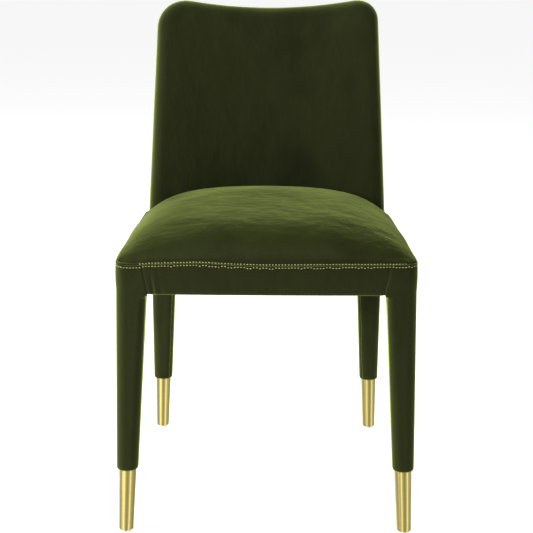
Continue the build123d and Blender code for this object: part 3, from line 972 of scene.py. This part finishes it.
def apron_profile():
    """The apron's section as insets and heights: tucked top, stitch groove, rolled foot."""
    top, foot = SEAM, APRON_BOTTOM - 0.0014
    gap = bpy.context.scene.chair_seat.stitch_gap
    return np.array([
        (0.0040, top - 0.0004), (0.0022, top - 0.0001), (0.0010, top - 0.0004),
        (0.0003, top - 0.0011), (0.0000, top - 0.0020), (0.0004, top - gap),
        (0.0001, top - gap - 0.0013), (-0.0003, top - gap - 0.003), (-0.0005, top - 0.012),
        (-0.0007, top - 0.018), (-0.0008, top - 0.024), (-0.0007, top - 0.030),
        (-0.0005, top - 0.036), (-0.0003, foot + 0.008), (0.0000, foot + 0.005),
        (0.0004, foot + 0.0028), (0.0014, foot + 0.0010), (0.0030, foot + 0.0001),
        (0.0060, foot - 0.0002), (0.0120, foot - 0.0002), (0.0190, foot),
    ])


def normals_of(path):
    """Inward unit normals along an anticlockwise path."""
    slope = np.gradient(path, axis=0)
    slope /= np.hypot(*slope.T)[:, None]
    return np.stack([-slope[:, 1], slope[:, 0]], -1)


def held_wave(x, y, z):
    """The seam's wave, dying out over the apron's uppermost 20 mm."""
    return seam_wave(x, y) * np.clip((z - (SEAM - 0.020)) / 0.016, 0, 1)


def panel(path, starts, ends, crease=None):
    """An apron panel along a path, cut off at its ends by slanting seams.

    starts and ends give the share of the path where the panel begins and ends at each row.
    """
    rows = []
    index = np.arange(PANEL_COLUMNS)
    tuck = np.exp(-index / 2.2) + np.exp(-index[::-1] / 2.2)
    inward = normals_of(path)
    for (inset, z), start, end in zip(apron_profile(), starts, ends):
        share = np.linspace(start, end, PANEL_COLUMNS)
        spots = along(path, share)
        normal = along(inward, share)
        normal /= np.linalg.norm(normal, axis=1, keepdims=True)
        lift = inset + SKIN + 0.0020 * tuck
        if crease is not None:
            lift = lift + crease(spots[:, 0], z)
        level = z + held_wave(spots[:, 0], spots[:, 1], z)
        rows.append(np.column_stack([spots + normal * lift[:, None], level]))
    return np.array(rows)


def front_crease(x, z):
    """Pulls in the velvet beside the leg seams: two slanting folds left, a soft one right."""
    down = np.clip((SEAM - 0.006 - z) / 0.04, 0, 1)
    fold = 0.0016 * down * np.exp(-(((x + 0.1815 - 0.004 * down) / 0.0026) ** 2))
    fold = fold - 0.0008 * down * np.exp(-(((x + 0.1765 - 0.004 * down) / 0.003) ** 2))
    fold = fold + 0.0006 * down * np.exp(-(((x + 0.171 - 0.007 * down) / 0.003) ** 2))
    fold = fold + 0.0008 * down * np.exp(-(((x - 0.186) / 0.003) ** 2))
    return fold


def share_of(path, axis, values):
    """The shares of a path's length at which one of its coordinates has given values."""
    run, order = lengths_along(path), path[:, axis]
    way = 1 if order[-1] > order[0] else -1
    return np.interp(values, order[::way], run[::way]) / run[-1]


def make_aprons():
    """The four velvet panels between the leg sleeves, each a section carried along the
    seat's outline."""
    fall = (SEAM - np.clip(apron_profile()[:, 1], APRON_BOTTOM, SEAM)) / (SEAM - APRON_BOTTOM)
    front, right, rear, left = seat_loop()
    ends = {}
    for place, leg in LEGS.items():
        high, low = leg["seam"]
        ends[place] = high + (low - high) * fall + 0.0028
    near, far = FRONT + 0.049 + 0.004 * fall, FRONT + 0.405 - 0.003 * fall
    plans = {
        "apron_cover_front": (front, 0, -ends["front"], ends["front"], front_crease),
        "apron_cover_rear": (rear, 0, ends["rear"], -ends["rear"], None),
        "apron_cover_right": (right, 1, near, far, None),
        "apron_cover_left": (left, 1, far, near, None),
    }
    for node, (path, axis, begin, end, crease) in plans.items():
        grid = panel(path, share_of(path, axis, begin), share_of(path, axis, end), crease)
        sewn_on(new_mesh("velvet_" + node, grid, grid_faces(*grid.shape[:2])), node)


def leg_loop(place, z, inset=0.0, at_seat=False):
    """A leg sleeve's section at a height: corners and roundings run straight from the foot
    to the apron, and the inner faces flare under it along a quarter circle."""
    leg = LEGS[place]
    share = (z - SLEEVE_END) / (APRON_BOTTOM - SLEEVE_END)
    x, y = leg["foot"]
    y, half = FRONT + y, SLEEVE_FOOT / 2
    foot = np.array([
        (x - half, y - half), (x + half, y - half), (x + half, y + half), (x - half, y + half),
    ])
    _, near_corner, far_corner, _ = inset_corners(seat_corners(), [SKIN] * 4)
    edge = far_corner - near_corner
    near = min(max((z - (APRON_BOTTOM - UNDER_APRON_RADIUS)) / UNDER_APRON_RADIUS, 0), 1)
    flare = 0.0055 * (1 - math.sqrt(1 - near**2))
    inner = leg["top_in"] - flare
    if place == "front":
        bow = FRONT + FRONT_BOW * (inner / near_corner[0]) ** 2 + SKIN
        rearward = FRONT + leg["back_in"] + flare
        outer = near_corner + edge * (rearward - near_corner[1]) / edge[1]
        top = np.array([
            (inner, bow), near_corner, (outer[0] + 0.0009, rearward), (inner, rearward),
        ])
        top_radii, sharp = [0.010, 0.017, 0.010, 0.012], (0, 2)
    else:
        forward = FRONT + leg["back_in"] - flare
        outer = near_corner + edge * (forward - near_corner[1]) / edge[1]
        bow = far_corner[1] + 0.0335 * (1 - (inner / far_corner[0]) ** 2)
        corner = far_corner if at_seat else far_corner + np.array([0.0008, 0.0042])
        side = 0.0 if at_seat else 0.0045
        top = np.array([
            (inner, forward), (outer[0] + 0.0012 - side, forward),
            (corner[0] - side, corner[1]), (inner, bow + 0.0008),
        ])
        top_radii, sharp = [0.012, 0.010, 0.013, 0.010], (1, 3)
    corners = foot + (top - foot) * share
    radii = [SLEEVE_FOOT_RADIUS + (r - SLEEVE_FOOT_RADIUS) * share for r in top_radii]
    for k in sharp:
        radii[k] += (0.0015 - radii[k]) * near
    if inset:
        corners = inset_corners(corners, [inset] * 4)
        radii = [max(r - inset, 0.001) for r in radii]
    return bowed_loop(corners, [0, 0, 0, 0], radii, 30)


def leg_ring(place, z, inset=0.0, at_seat=False):
    """One row of a leg sleeve's points, spread evenly over each of its four sides."""
    share = np.linspace(0, 1, LEG_COLUMNS, endpoint=False)
    return np.vstack([along(path, share) for path in leg_loop(place, z, inset, at_seat)])


def leg_tube(place):
    """A leg's sleeve up to the apron: rows of leg_ring, turned in above the ferrule."""
    turned_in = ((0.0052, 0.0010), (0.0030, 0.0), (0.0012, 0.0006), (0.0003, 0.0019), (0.0, 0.0038))
    rows = [(SLEEVE_END + lift, inset) for inset, lift in turned_in]
    rows += [(z, 0.0) for z in np.linspace(SLEEVE_END + 0.008, APRON_BOTTOM - 0.012, 40)]
    rise = 1 - np.sin(np.linspace(0, math.pi / 2, 8))
    rows += [(z, 0.0) for z in APRON_BOTTOM - UNDER_APRON_RADIUS * rise]
    rings = []
    for z, inset in rows:
        ring = leg_ring(place, float(z), inset)
        rings.append(np.column_stack([ring, np.full(len(ring), z)]))
    mouth = rings[0].copy()
    middle = mouth[:, :2].mean(axis=0)
    direction = mouth[:, :2] - middle
    direction /= np.hypot(*direction.T)[:, None]
    mouth[:, :2] = middle + direction * 0.0142
    mouth[:, 2] = SLEEVE_END + 0.003
    return np.array([mouth, *rings])


def leg_corner(place, rim):
    """The skin from a sleeve's rim up to the seam, over the corner between two aprons.

    Under the apron's foot its rows blend from the rim's outline to the seat's. Above that
    they follow the apron's section, and the inner edge slants along the leg's seam.
    """
    first, last = (1, 2 * LEG_COLUMNS) if place == "front" else (LEG_COLUMNS + 1, 3 * LEG_COLUMNS)
    outline = rim[first:last, :2]
    upper = leg_ring(place, APRON_BOTTOM, at_seat=True)[first:last]
    inward = normals_of(outline)
    blend = ((0.0, -0.0034), (0.35, -0.0030), (0.75, -0.0016), (0.95, 0.0002), (1.0, 0.0016))
    grid = []
    for part, lift in blend:
        level = np.full(len(outline), APRON_BOTTOM + lift)
        grid.append(np.column_stack([outline + (upper - outline) * part, level]))
    index = np.arange(len(outline))
    if place == "front":
        seam_edge, reach = upper[0, 0], LEG_COLUMNS - 1 - index
    else:
        seam_edge, reach = upper[-1, 0], index - LEG_COLUMNS + 1
    reach = np.clip(reach / (LEG_COLUMNS - 1), 0, 1)
    tuck = np.exp(-index / 0.6) + np.exp(-index[::-1] / 0.6)
    high, low = LEGS[place]["seam"]
    profile = apron_profile()[::-1]
    for inset, z in profile[profile[:, 1] > APRON_BOTTOM + 0.004]:
        up = (z - APRON_BOTTOM) / (SEAM - APRON_BOTTOM)
        spots = upper.copy()
        spots[:, 0] += (low + (high - low) * up - seam_edge) * reach
        lift = min(up / 0.2, 1.0) * inset + 0.0012 * tuck
        level = z + held_wave(spots[:, 0], spots[:, 1], z)
        grid.append(np.column_stack([spots + inward * lift[:, None], level]))
    return np.array(grid)


def make_leg_sleeves():
    """The velvet on each leg: a tube turned in above its ferrule, and the corner skin that
    runs on up to the seat's seam."""
    for place in LEGS:
        sleeve = leg_tube(place)
        corner = leg_corner(place, sleeve[-1])
        points, faces = joined([
            (sleeve, grid_faces(*sleeve.shape[:2], wrap=True, flip=True)),
            (corner, grid_faces(*corner.shape[:2], flip=True)),
        ])
        for name, side in (("right", 1), ("left", -1)):
            node = f"{place}_leg_sleeve_{name}"
            piece = new_mesh("velvet_" + node, points * np.array([side, 1, 1]), faces[:, ::side])
            cleaned(piece, merge=1e-5, outward=False)
            sewn_on(piece, node)


# ---------------------------------------------------------------- stitching


def capsules(centres, directions, ups, length, radius):
    """A small rounded bar at each centre: rings of six points whose radius follows a half
    ellipse from end to end, sunk at both ends towards the cloth."""
    rings, around = 5, 6
    along_bar = np.linspace(-1, 1, rings)
    width = radius * np.sqrt(np.clip(1.04 - along_bar**2, 0.04, 1))
    sink = -0.55 * radius * along_bar**4
    turn = np.arange(around) * 2 * math.pi / around
    side = np.cross(directions, ups)
    spots = (
        centres[:, None, None]
        + directions[:, None, None] * (along_bar * length / 2)[None, :, None, None]
        + ups[:, None, None] * sink[None, :, None, None]
        + ups[:, None, None] * (width[:, None] * np.sin(turn))[None, :, :, None]
        + side[:, None, None] * (width[:, None] * np.cos(turn))[None, :, :, None]
    )
    one = grid_faces(rings, around, wrap=True, flip=True)
    stride = rings * around
    faces = (one[None] + (np.arange(len(centres)) * stride)[:, None, None]).reshape(-1, 4)
    first = np.array([[0, 1, 2, 3], [0, 3, 4, 5]])
    last = first[:, ::-1] + (rings - 1) * around
    caps = np.vstack([first, last])
    caps = (caps[None] + (np.arange(len(centres)) * stride)[:, None, None]).reshape(-1, 4)
    return spots.reshape(-1, 3), np.vstack([faces, caps])


def seam_path():
    """The seam's line round the front and both sides, from the left rear to the right."""
    front, right, _, left = seat_loop(0.0008)
    path = np.vstack([left, front[1:], right[1:]])
    return path[path[:, 1] < FRONT + 0.392]


def nearest(names, spots):
    """The nearest surface points and outward normals on some finished pieces."""
    graph = bpy.context.evaluated_depsgraph_get()
    trees = [BVHTree.FromObject(bpy.data.objects[name], graph) for name in names]
    found = []
    for spot in spots:
        hits = [tree.find_nearest(Vector(spot)) for tree in trees]
        found.append(min(hits, key=lambda hit: hit[3])[:2])
    return np.array([hit[0] for hit in found]), np.array([hit[1] for hit in found])


def tube(path, radius, segments=8):
    """A tube along a path of points, rings square to the path and drawn in at both ends."""
    slope = np.gradient(path, axis=0)
    slope /= np.linalg.norm(slope, axis=1, keepdims=True)
    up = np.where(abs(slope[:, 2:]) > 0.8, [[0.0, 1.0, 0.0]], [[0.0, 0.0, 1.0]])
    side = np.cross(slope, up)
    side /= np.linalg.norm(side, axis=1, keepdims=True)
    up = np.cross(side, slope)
    turn = np.arange(segments) * 2 * math.pi / segments
    index = np.arange(len(path))
    size = radius * np.sqrt(np.clip(np.minimum(index, index[::-1]) / 3, 0.02, 1))
    ring = path[:, None] + size[:, None, None] * (
        side[:, None] * np.cos(turn)[None, :, None] + up[:, None] * np.sin(turn)[None, :, None]
    )
    return ring, grid_faces(len(path), segments, wrap=True)


def make_topstitching():
    """Two rows of stitches either side of the seam, laid on the velvet beside it."""
    seat = bpy.context.scene.chair_seat
    path = seam_path()
    count = int(lengths_along(path)[-1] / seat.stitch_pitch)
    share = (np.arange(count) + 0.5) / count
    middle = along(path, share)
    inward = along(normals_of(path), share)
    inward /= np.linalg.norm(inward, axis=1, keepdims=True)
    forward = np.column_stack([inward[:, 1], -inward[:, 0], np.zeros(count)])
    level = SEAM + seam_wave(middle[:, 0], middle[:, 1])
    rng = np.random.default_rng(7)
    skirts = [piece.name for piece in bpy.data.objects if piece.name.startswith("velvet_")]
    parts = []
    for row, names in ((1, ["seat_cushion"]), (-1, skirts)):
        jitter = rng.normal(0, 1, (count, 2))
        guess = np.column_stack([middle - inward * 0.0030, level + row * seat.stitch_gap])
        guess[:, 2] += jitter[:, 0] * 0.00012
        spots, out = nearest(names, guess)
        slant = np.cross(forward, out) * (0.04 + 0.05 * jitter[:, 1:])
        direction = forward + slant
        direction -= out * np.sum(direction * out, axis=1, keepdims=True)
        direction /= np.linalg.norm(direction, axis=1, keepdims=True)
        length = seat.stitch_pitch * 0.50
        parts.append(capsules(spots + out * 0.0003, direction, out, length, 0.00062))
    stitches = new_mesh("topstitching", *joined(parts))
    finished(stitches, material("topstitch_thread", thread))


def make_seam_folds():
    """The raised folds of velvet where panels meet: round the seat, round the back, and
    down the inner corner of each leg, each a thin tube along its seam."""
    folds = {}
    path = along(seam_path(), np.linspace(0, 1, 900))
    level = SEAM + 0.0002 + seam_wave(path[:, 0], path[:, 1])
    line = np.column_stack([path - normals_of(path) * 0.0002, level])
    folds["seat_seam_fold"] = tube(line, 0.00085)

    _, right, top, left = back_outline()
    path = np.vstack([right, top[1:], left[1:]])
    path = along(path[path[:, 1] > 0.006], np.linspace(0, 1, 700))
    depth = bpy.context.scene.chair_back.seam_depth
    folds["back_seam_fold"] = tube(on_back(path[:, 0], path[:, 1], depth), 0.0009)

    heights = np.linspace(SLEEVE_END + 0.004, APRON_BOTTOM - 0.012, 160)
    for place, side, spot in (("front", 3, 0.06), ("rear", 0, 0.05)):
        run = np.array([along(leg_loop(place, float(z))[side], [spot])[0] for z in heights])
        sway = 0.0005 * np.sin(heights * 61) + 0.0003 * np.sin(heights * 143 + 1)
        line = np.column_stack([run[:, 0] + sway, run[:, 1], heights])
        for name, mirror in (("right", 1), ("left", -1)):
            folds[f"{place}_leg_seam_{name}"] = tube(line * np.array([mirror, 1, 1]), 0.0007)
    for name, shape in folds.items():
        piece = new_mesh(name, *shape)
        cleaned(piece, fill=True)
        # The fold velvet is a lighter copy of the velvet: painted highlight along each seam ridge.
        finished(piece, velvet_with_painted_sheen("fold"))


# ---------------------------------------------------------------- hardware


def turned(name, profile, foot, top, segments=72):
    """A profile of (height, radius) turned about the straight line from foot to top."""
    turn = np.arange(segments) * 2 * math.pi / segments
    height, radius = np.array(profile).T
    share = (height - foot[2]) / (top[2] - foot[2])
    centre = np.array(foot)[None] + (np.array(top) - np.array(foot))[None] * share[:, None]
    ring = np.zeros((len(profile), segments, 3))
    ring[..., 0] = centre[:, None, 0] + radius[:, None] * np.cos(turn)
    ring[..., 1] = centre[:, None, 1] + radius[:, None] * np.sin(turn)
    ring[..., 2] = centre[:, None, 2]
    piece = new_mesh(name, ring, grid_faces(len(profile), segments, wrap=True, flip=True))
    corners = np.empty(len(piece.data.loops), np.int32)
    piece.data.loops.foreach_get("vertex_index", corners)
    row, column = np.divmod(corners.reshape(-1, 4), segments)
    closing = column.max(axis=1, keepdims=True) == segments - 1
    column = np.where((column == 0) & closing, segments, column)
    wrap = np.stack([column / segments, row / len(profile)], -1)
    piece.data.uv_layers.new(name="wrap").data.foreach_set("uv", wrap.ravel())
    return piece


FERRULE_WIDE, FERRULE_NARROW, FERRULE_BEND = 0.0144, 0.0120, 0.0032
FERRULE_TOP_HALF = 0.01375


def make_ferrules():
    """Four brass cones with a rounded foot and a turned-in lip under the sleeve."""
    foot_z, top_z = FERRULE[0][2], FERRULE[1][2]

    def radius_at(z):
        return FERRULE_NARROW + (FERRULE_WIDE - FERRULE_NARROW) * (z - foot_z) / (top_z - foot_z)

    bend, low_radius = FERRULE_BEND, radius_at(foot_z + FERRULE_BEND)
    profile = [(foot_z, 0.0012), (foot_z, 0.004)]
    profile += [
        (foot_z + bend * (1 - math.cos(a)), low_radius - bend * (1 - math.sin(a)))
        for a in np.linspace(0, math.pi / 2, 8)
    ]
    profile += [(z, radius_at(z)) for z in np.linspace(foot_z + bend, top_z, 24)[1:]]
    profile += [(top_z, FERRULE_WIDE - 0.0012), (top_z - 0.004, FERRULE_WIDE - 0.0014)]
    for node in [name for name in NODES if "ferrule" in name]:
        low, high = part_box(node)
        side = 1 if low[0] > 0 else -1
        place = "front" if low[1] < 0 else "rear"
        x, y = LEGS[place]["ferrule"]
        top_x = low[0] + FERRULE_TOP_HALF if side > 0 else high[0] - FERRULE_TOP_HALF
        top_y = high[1] - FERRULE_TOP_HALF if place == "front" else low[1] + FERRULE_TOP_HALF
        top = (float(top_x), float(top_y), top_z)
        piece = turned("brass_" + node, profile, (side * x, FRONT + y, 0.005), top)
        finished(piece, material("brushed_brass", brass))
        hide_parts(node)


WOOD = (0.56, 0.39, 0.22)
FRAME_FINISHES = (
    (("glide_nails", "screws", "staples", "ferrule"), "plated_steel", zinc),
    (("glide",), "white_nylon", nylon),
    (("dust_cover",), "black_dust_cloth", felted),
    (("webbing",), "elastic_webbing", woven, (0.01, 0.01, 0.012), (0.09, 0.085, 0.08), 160),
    (("dowels",), "dowel_beech", timber, (0.66, 0.5, 0.33), (4, 1, 4)),
    (("panel",), "curved_plywood", plied, (0.62, 0.47, 0.3)),
    (("side_rail",), "beech_lengthwise", timber, WOOD, (5, 0.4, 5)),
    (("rail", "block"), "beech_crosswise", timber, WOOD, (0.4, 5, 5)),
    (("_leg_",), "beech_upright", timber, WOOD, (5, 5, 0.4)),
)


def dress_nodes():
    """Gives every node of the frame a worked material, by the first word in its name."""
    for node, piece in NODES.items():
        found = [row[1:] for row in FRAME_FINISHES if any(word in node for word in row[0])]
        dress(piece, material(*found[0]) if found else velvet_with_painted_sheen("frame"))


# ---------------------------------------------------------------- stage


def light_table(name, colour, glow):
    """A matt white studio floor that is lit a little from below."""
    finish, tree, shader = new_material(name)
    coloured(tree, shader, noise(tree, 3, 2.0), [(0.3, shaded(colour, 0.995)), (0.7, colour)], 1.0)
    shader.inputs["Specular IOR Level"].default_value = 0.0
    shader.inputs["Emission Color"].default_value = (1, 1, 1, 1)
    shader.inputs["Emission Strength"].default_value = glow
    return finish


LAMPS = (
    ("overhead", (0.0, 0.9, 2.9), (0, 0.1, 0.5), (2.4, 1.2), 26),
    ("left_window", (-2.5, -1.3, 1.7), (0, 0.05, 0.45), (0.9, 2.0), 130),
    ("right_panel", (2.6, 0.6, 1.3), (0, 0.1, 0.5), (0.5, 1.8), 12),
)
FLOOR_REACH = 30.0


def area_light(name, spot, target, size, power):
    """A soft rectangular light at a spot, turned towards a target."""
    lamp = bpy.data.lights.new(name, "AREA")
    lamp.shape = "RECTANGLE"
    lamp.size, lamp.size_y = size
    lamp.energy = power
    piece = bpy.data.objects.new(name, lamp)
    piece.location = spot
    aim = Vector(target) - Vector(spot)
    piece.rotation_euler = aim.to_track_quat("-Z", "Y").to_euler()
    bpy.context.scene.collection.objects.link(piece)


def make_stage():
    """The camera, a pale floor, a white room and soft lights."""
    scene = bpy.context.scene
    stage = scene.chair_stage
    scene.view_settings.view_transform = "Standard"

    camera = bpy.data.cameras.new("camera")
    camera.sensor_width = 36.0
    camera.lens = stage.lens
    camera.clip_end = 100.0
    eye = bpy.data.objects.new("camera", camera)
    scene.collection.objects.link(eye)
    spot = (0.0, FRONT - stage.camera_distance, stage.camera_height)
    turn = Matrix.Rotation(math.pi / 2 - stage.tilt, 4, "X") @ Matrix.Rotation(stage.roll, 4, "Z")
    eye.matrix_world = Matrix.Translation(spot) @ turn
    scene.camera = eye

    corners = np.array([(-1, -1, 0), (1, -1, 0), (1, 1, 0), (-1, 1, 0)]) * FLOOR_REACH
    floor = new_mesh("floor", corners, np.array([[0, 1, 2, 3]]))
    dress(floor, material("pale_floor", light_table, grey(0.85), stage.floor_glow))

    world = bpy.data.worlds.new("room")
    scene.world = world
    world.use_nodes = True
    tree = world.node_tree
    tree.nodes.clear()
    output = tree.nodes.new("ShaderNodeOutputWorld")
    background = tree.nodes.new("ShaderNodeBackground")
    where = tree.nodes.new("ShaderNodeTexCoord")
    split = tree.nodes.new("ShaderNodeSeparateXYZ")
    tree.links.new(where.outputs["Generated"], split.inputs["Vector"])
    white, dim = grey(1), grey(stage.room_light)
    heights = [(0.0, white), (0.10, white), (0.22, dim), (1.0, dim)]
    walls = ramp(tree, split.outputs["Z"], heights)
    tree.links.new(walls, background.inputs["Color"])
    background.inputs["Strength"].default_value = 1.0
    tree.links.new(background.outputs["Background"], output.inputs["Surface"])

    for lamp in LAMPS:
        area_light(*lamp)


# ---------------------------------------------------------------- operators


class CHAIR_OT_stage(bpy.types.Operator):
    """Sets up the camera, the floor and the lights"""

    bl_idname = "chair.stage"
    bl_label = "Set Up the Stage"

    def execute(self, context):
        make_stage()
        return {"FINISHED"}


class CHAIR_OT_dress_nodes(bpy.types.Operator):
    """Gives the frame's own parts their materials"""

    bl_idname = "chair.dress_nodes"
    bl_label = "Finish Frame Parts"

    def execute(self, context):
        dress_nodes()
        return {"FINISHED"}


class CHAIR_OT_seat_cushion(bpy.types.Operator):
    """Makes the crowned velvet seat"""

    bl_idname = "chair.seat_cushion"
    bl_label = "Make Seat Cushion"

    def execute(self, context):
        make_seat_cushion()
        return {"FINISHED"}


class CHAIR_OT_back_cushion(bpy.types.Operator):
    """Makes the curved velvet back"""

    bl_idname = "chair.back_cushion"
    bl_label = "Make Back Cushion"

    def execute(self, context):
        make_back_cushion()
        return {"FINISHED"}


class CHAIR_OT_aprons(bpy.types.Operator):
    """Makes the four velvet apron panels"""

    bl_idname = "chair.aprons"
    bl_label = "Make Aprons"

    def execute(self, context):
        make_aprons()
        return {"FINISHED"}


class CHAIR_OT_leg_sleeves(bpy.types.Operator):
    """Makes the four velvet leg sleeves"""

    bl_idname = "chair.leg_sleeves"
    bl_label = "Make Leg Sleeves"

    def execute(self, context):
        make_leg_sleeves()
        return {"FINISHED"}


class CHAIR_OT_topstitching(bpy.types.Operator):
    """Makes the two rows of stitches along the seat's seam"""

    bl_idname = "chair.topstitching"
    bl_label = "Make Topstitching"

    def execute(self, context):
        make_topstitching()
        return {"FINISHED"}


class CHAIR_OT_seam_folds(bpy.types.Operator):
    """Makes the raised folds of velvet along the seams"""

    bl_idname = "chair.seam_folds"
    bl_label = "Make Seam Folds"

    def execute(self, context):
        make_seam_folds()
        return {"FINISHED"}


class CHAIR_OT_ferrules(bpy.types.Operator):
    """Makes the four brass ferrules"""

    bl_idname = "chair.ferrules"
    bl_label = "Make Ferrules"

    def execute(self, context):
        make_ferrules()
        return {"FINISHED"}


OPERATORS = (
    CHAIR_OT_stage, CHAIR_OT_dress_nodes, CHAIR_OT_seat_cushion, CHAIR_OT_back_cushion,
    CHAIR_OT_aprons, CHAIR_OT_leg_sleeves, CHAIR_OT_topstitching, CHAIR_OT_seam_folds,
    CHAIR_OT_ferrules,
)
GROUPS = {
    "chair_seat": ChairSeatSettings,
    "chair_back": ChairBackSettings,
    "chair_finish": ChairFinishSettings,
    "chair_stage": ChairStageSettings,
}


class CHAIR_PT_panel(bpy.types.Panel):
    """Lists the chair's settings and the steps that make it"""

    bl_label = "Velvet Dining Chair"
    bl_idname = "CHAIR_PT_panel"
    bl_space_type = "VIEW_3D"
    bl_region_type = "UI"
    bl_category = "Chair"

    def draw(self, context):
        for name, group in GROUPS.items():
            box = self.layout.box()
            for field in group.__annotations__:
                box.prop(getattr(context.scene, name), field)
        for operator in OPERATORS:
            self.layout.operator(operator.bl_idname)


def register():
    for name, group in GROUPS.items():
        bpy.utils.register_class(group)
        setattr(bpy.types.Scene, name, PointerProperty(type=group))
    for operator in OPERATORS:
        bpy.utils.register_class(operator)
    bpy.utils.register_class(CHAIR_PT_panel)


def unregister():
    bpy.utils.unregister_class(CHAIR_PT_panel)
    for operator in reversed(OPERATORS):
        bpy.utils.unregister_class(operator)
    for name, group in GROUPS.items():
        delattr(bpy.types.Scene, name)
        bpy.utils.unregister_class(group)


def main():
    register()
    for operator in OPERATORS:
        family, name = operator.bl_idname.split(".")
        getattr(getattr(bpy.ops, family), name)()


if __name__ == "__main__":
    main()
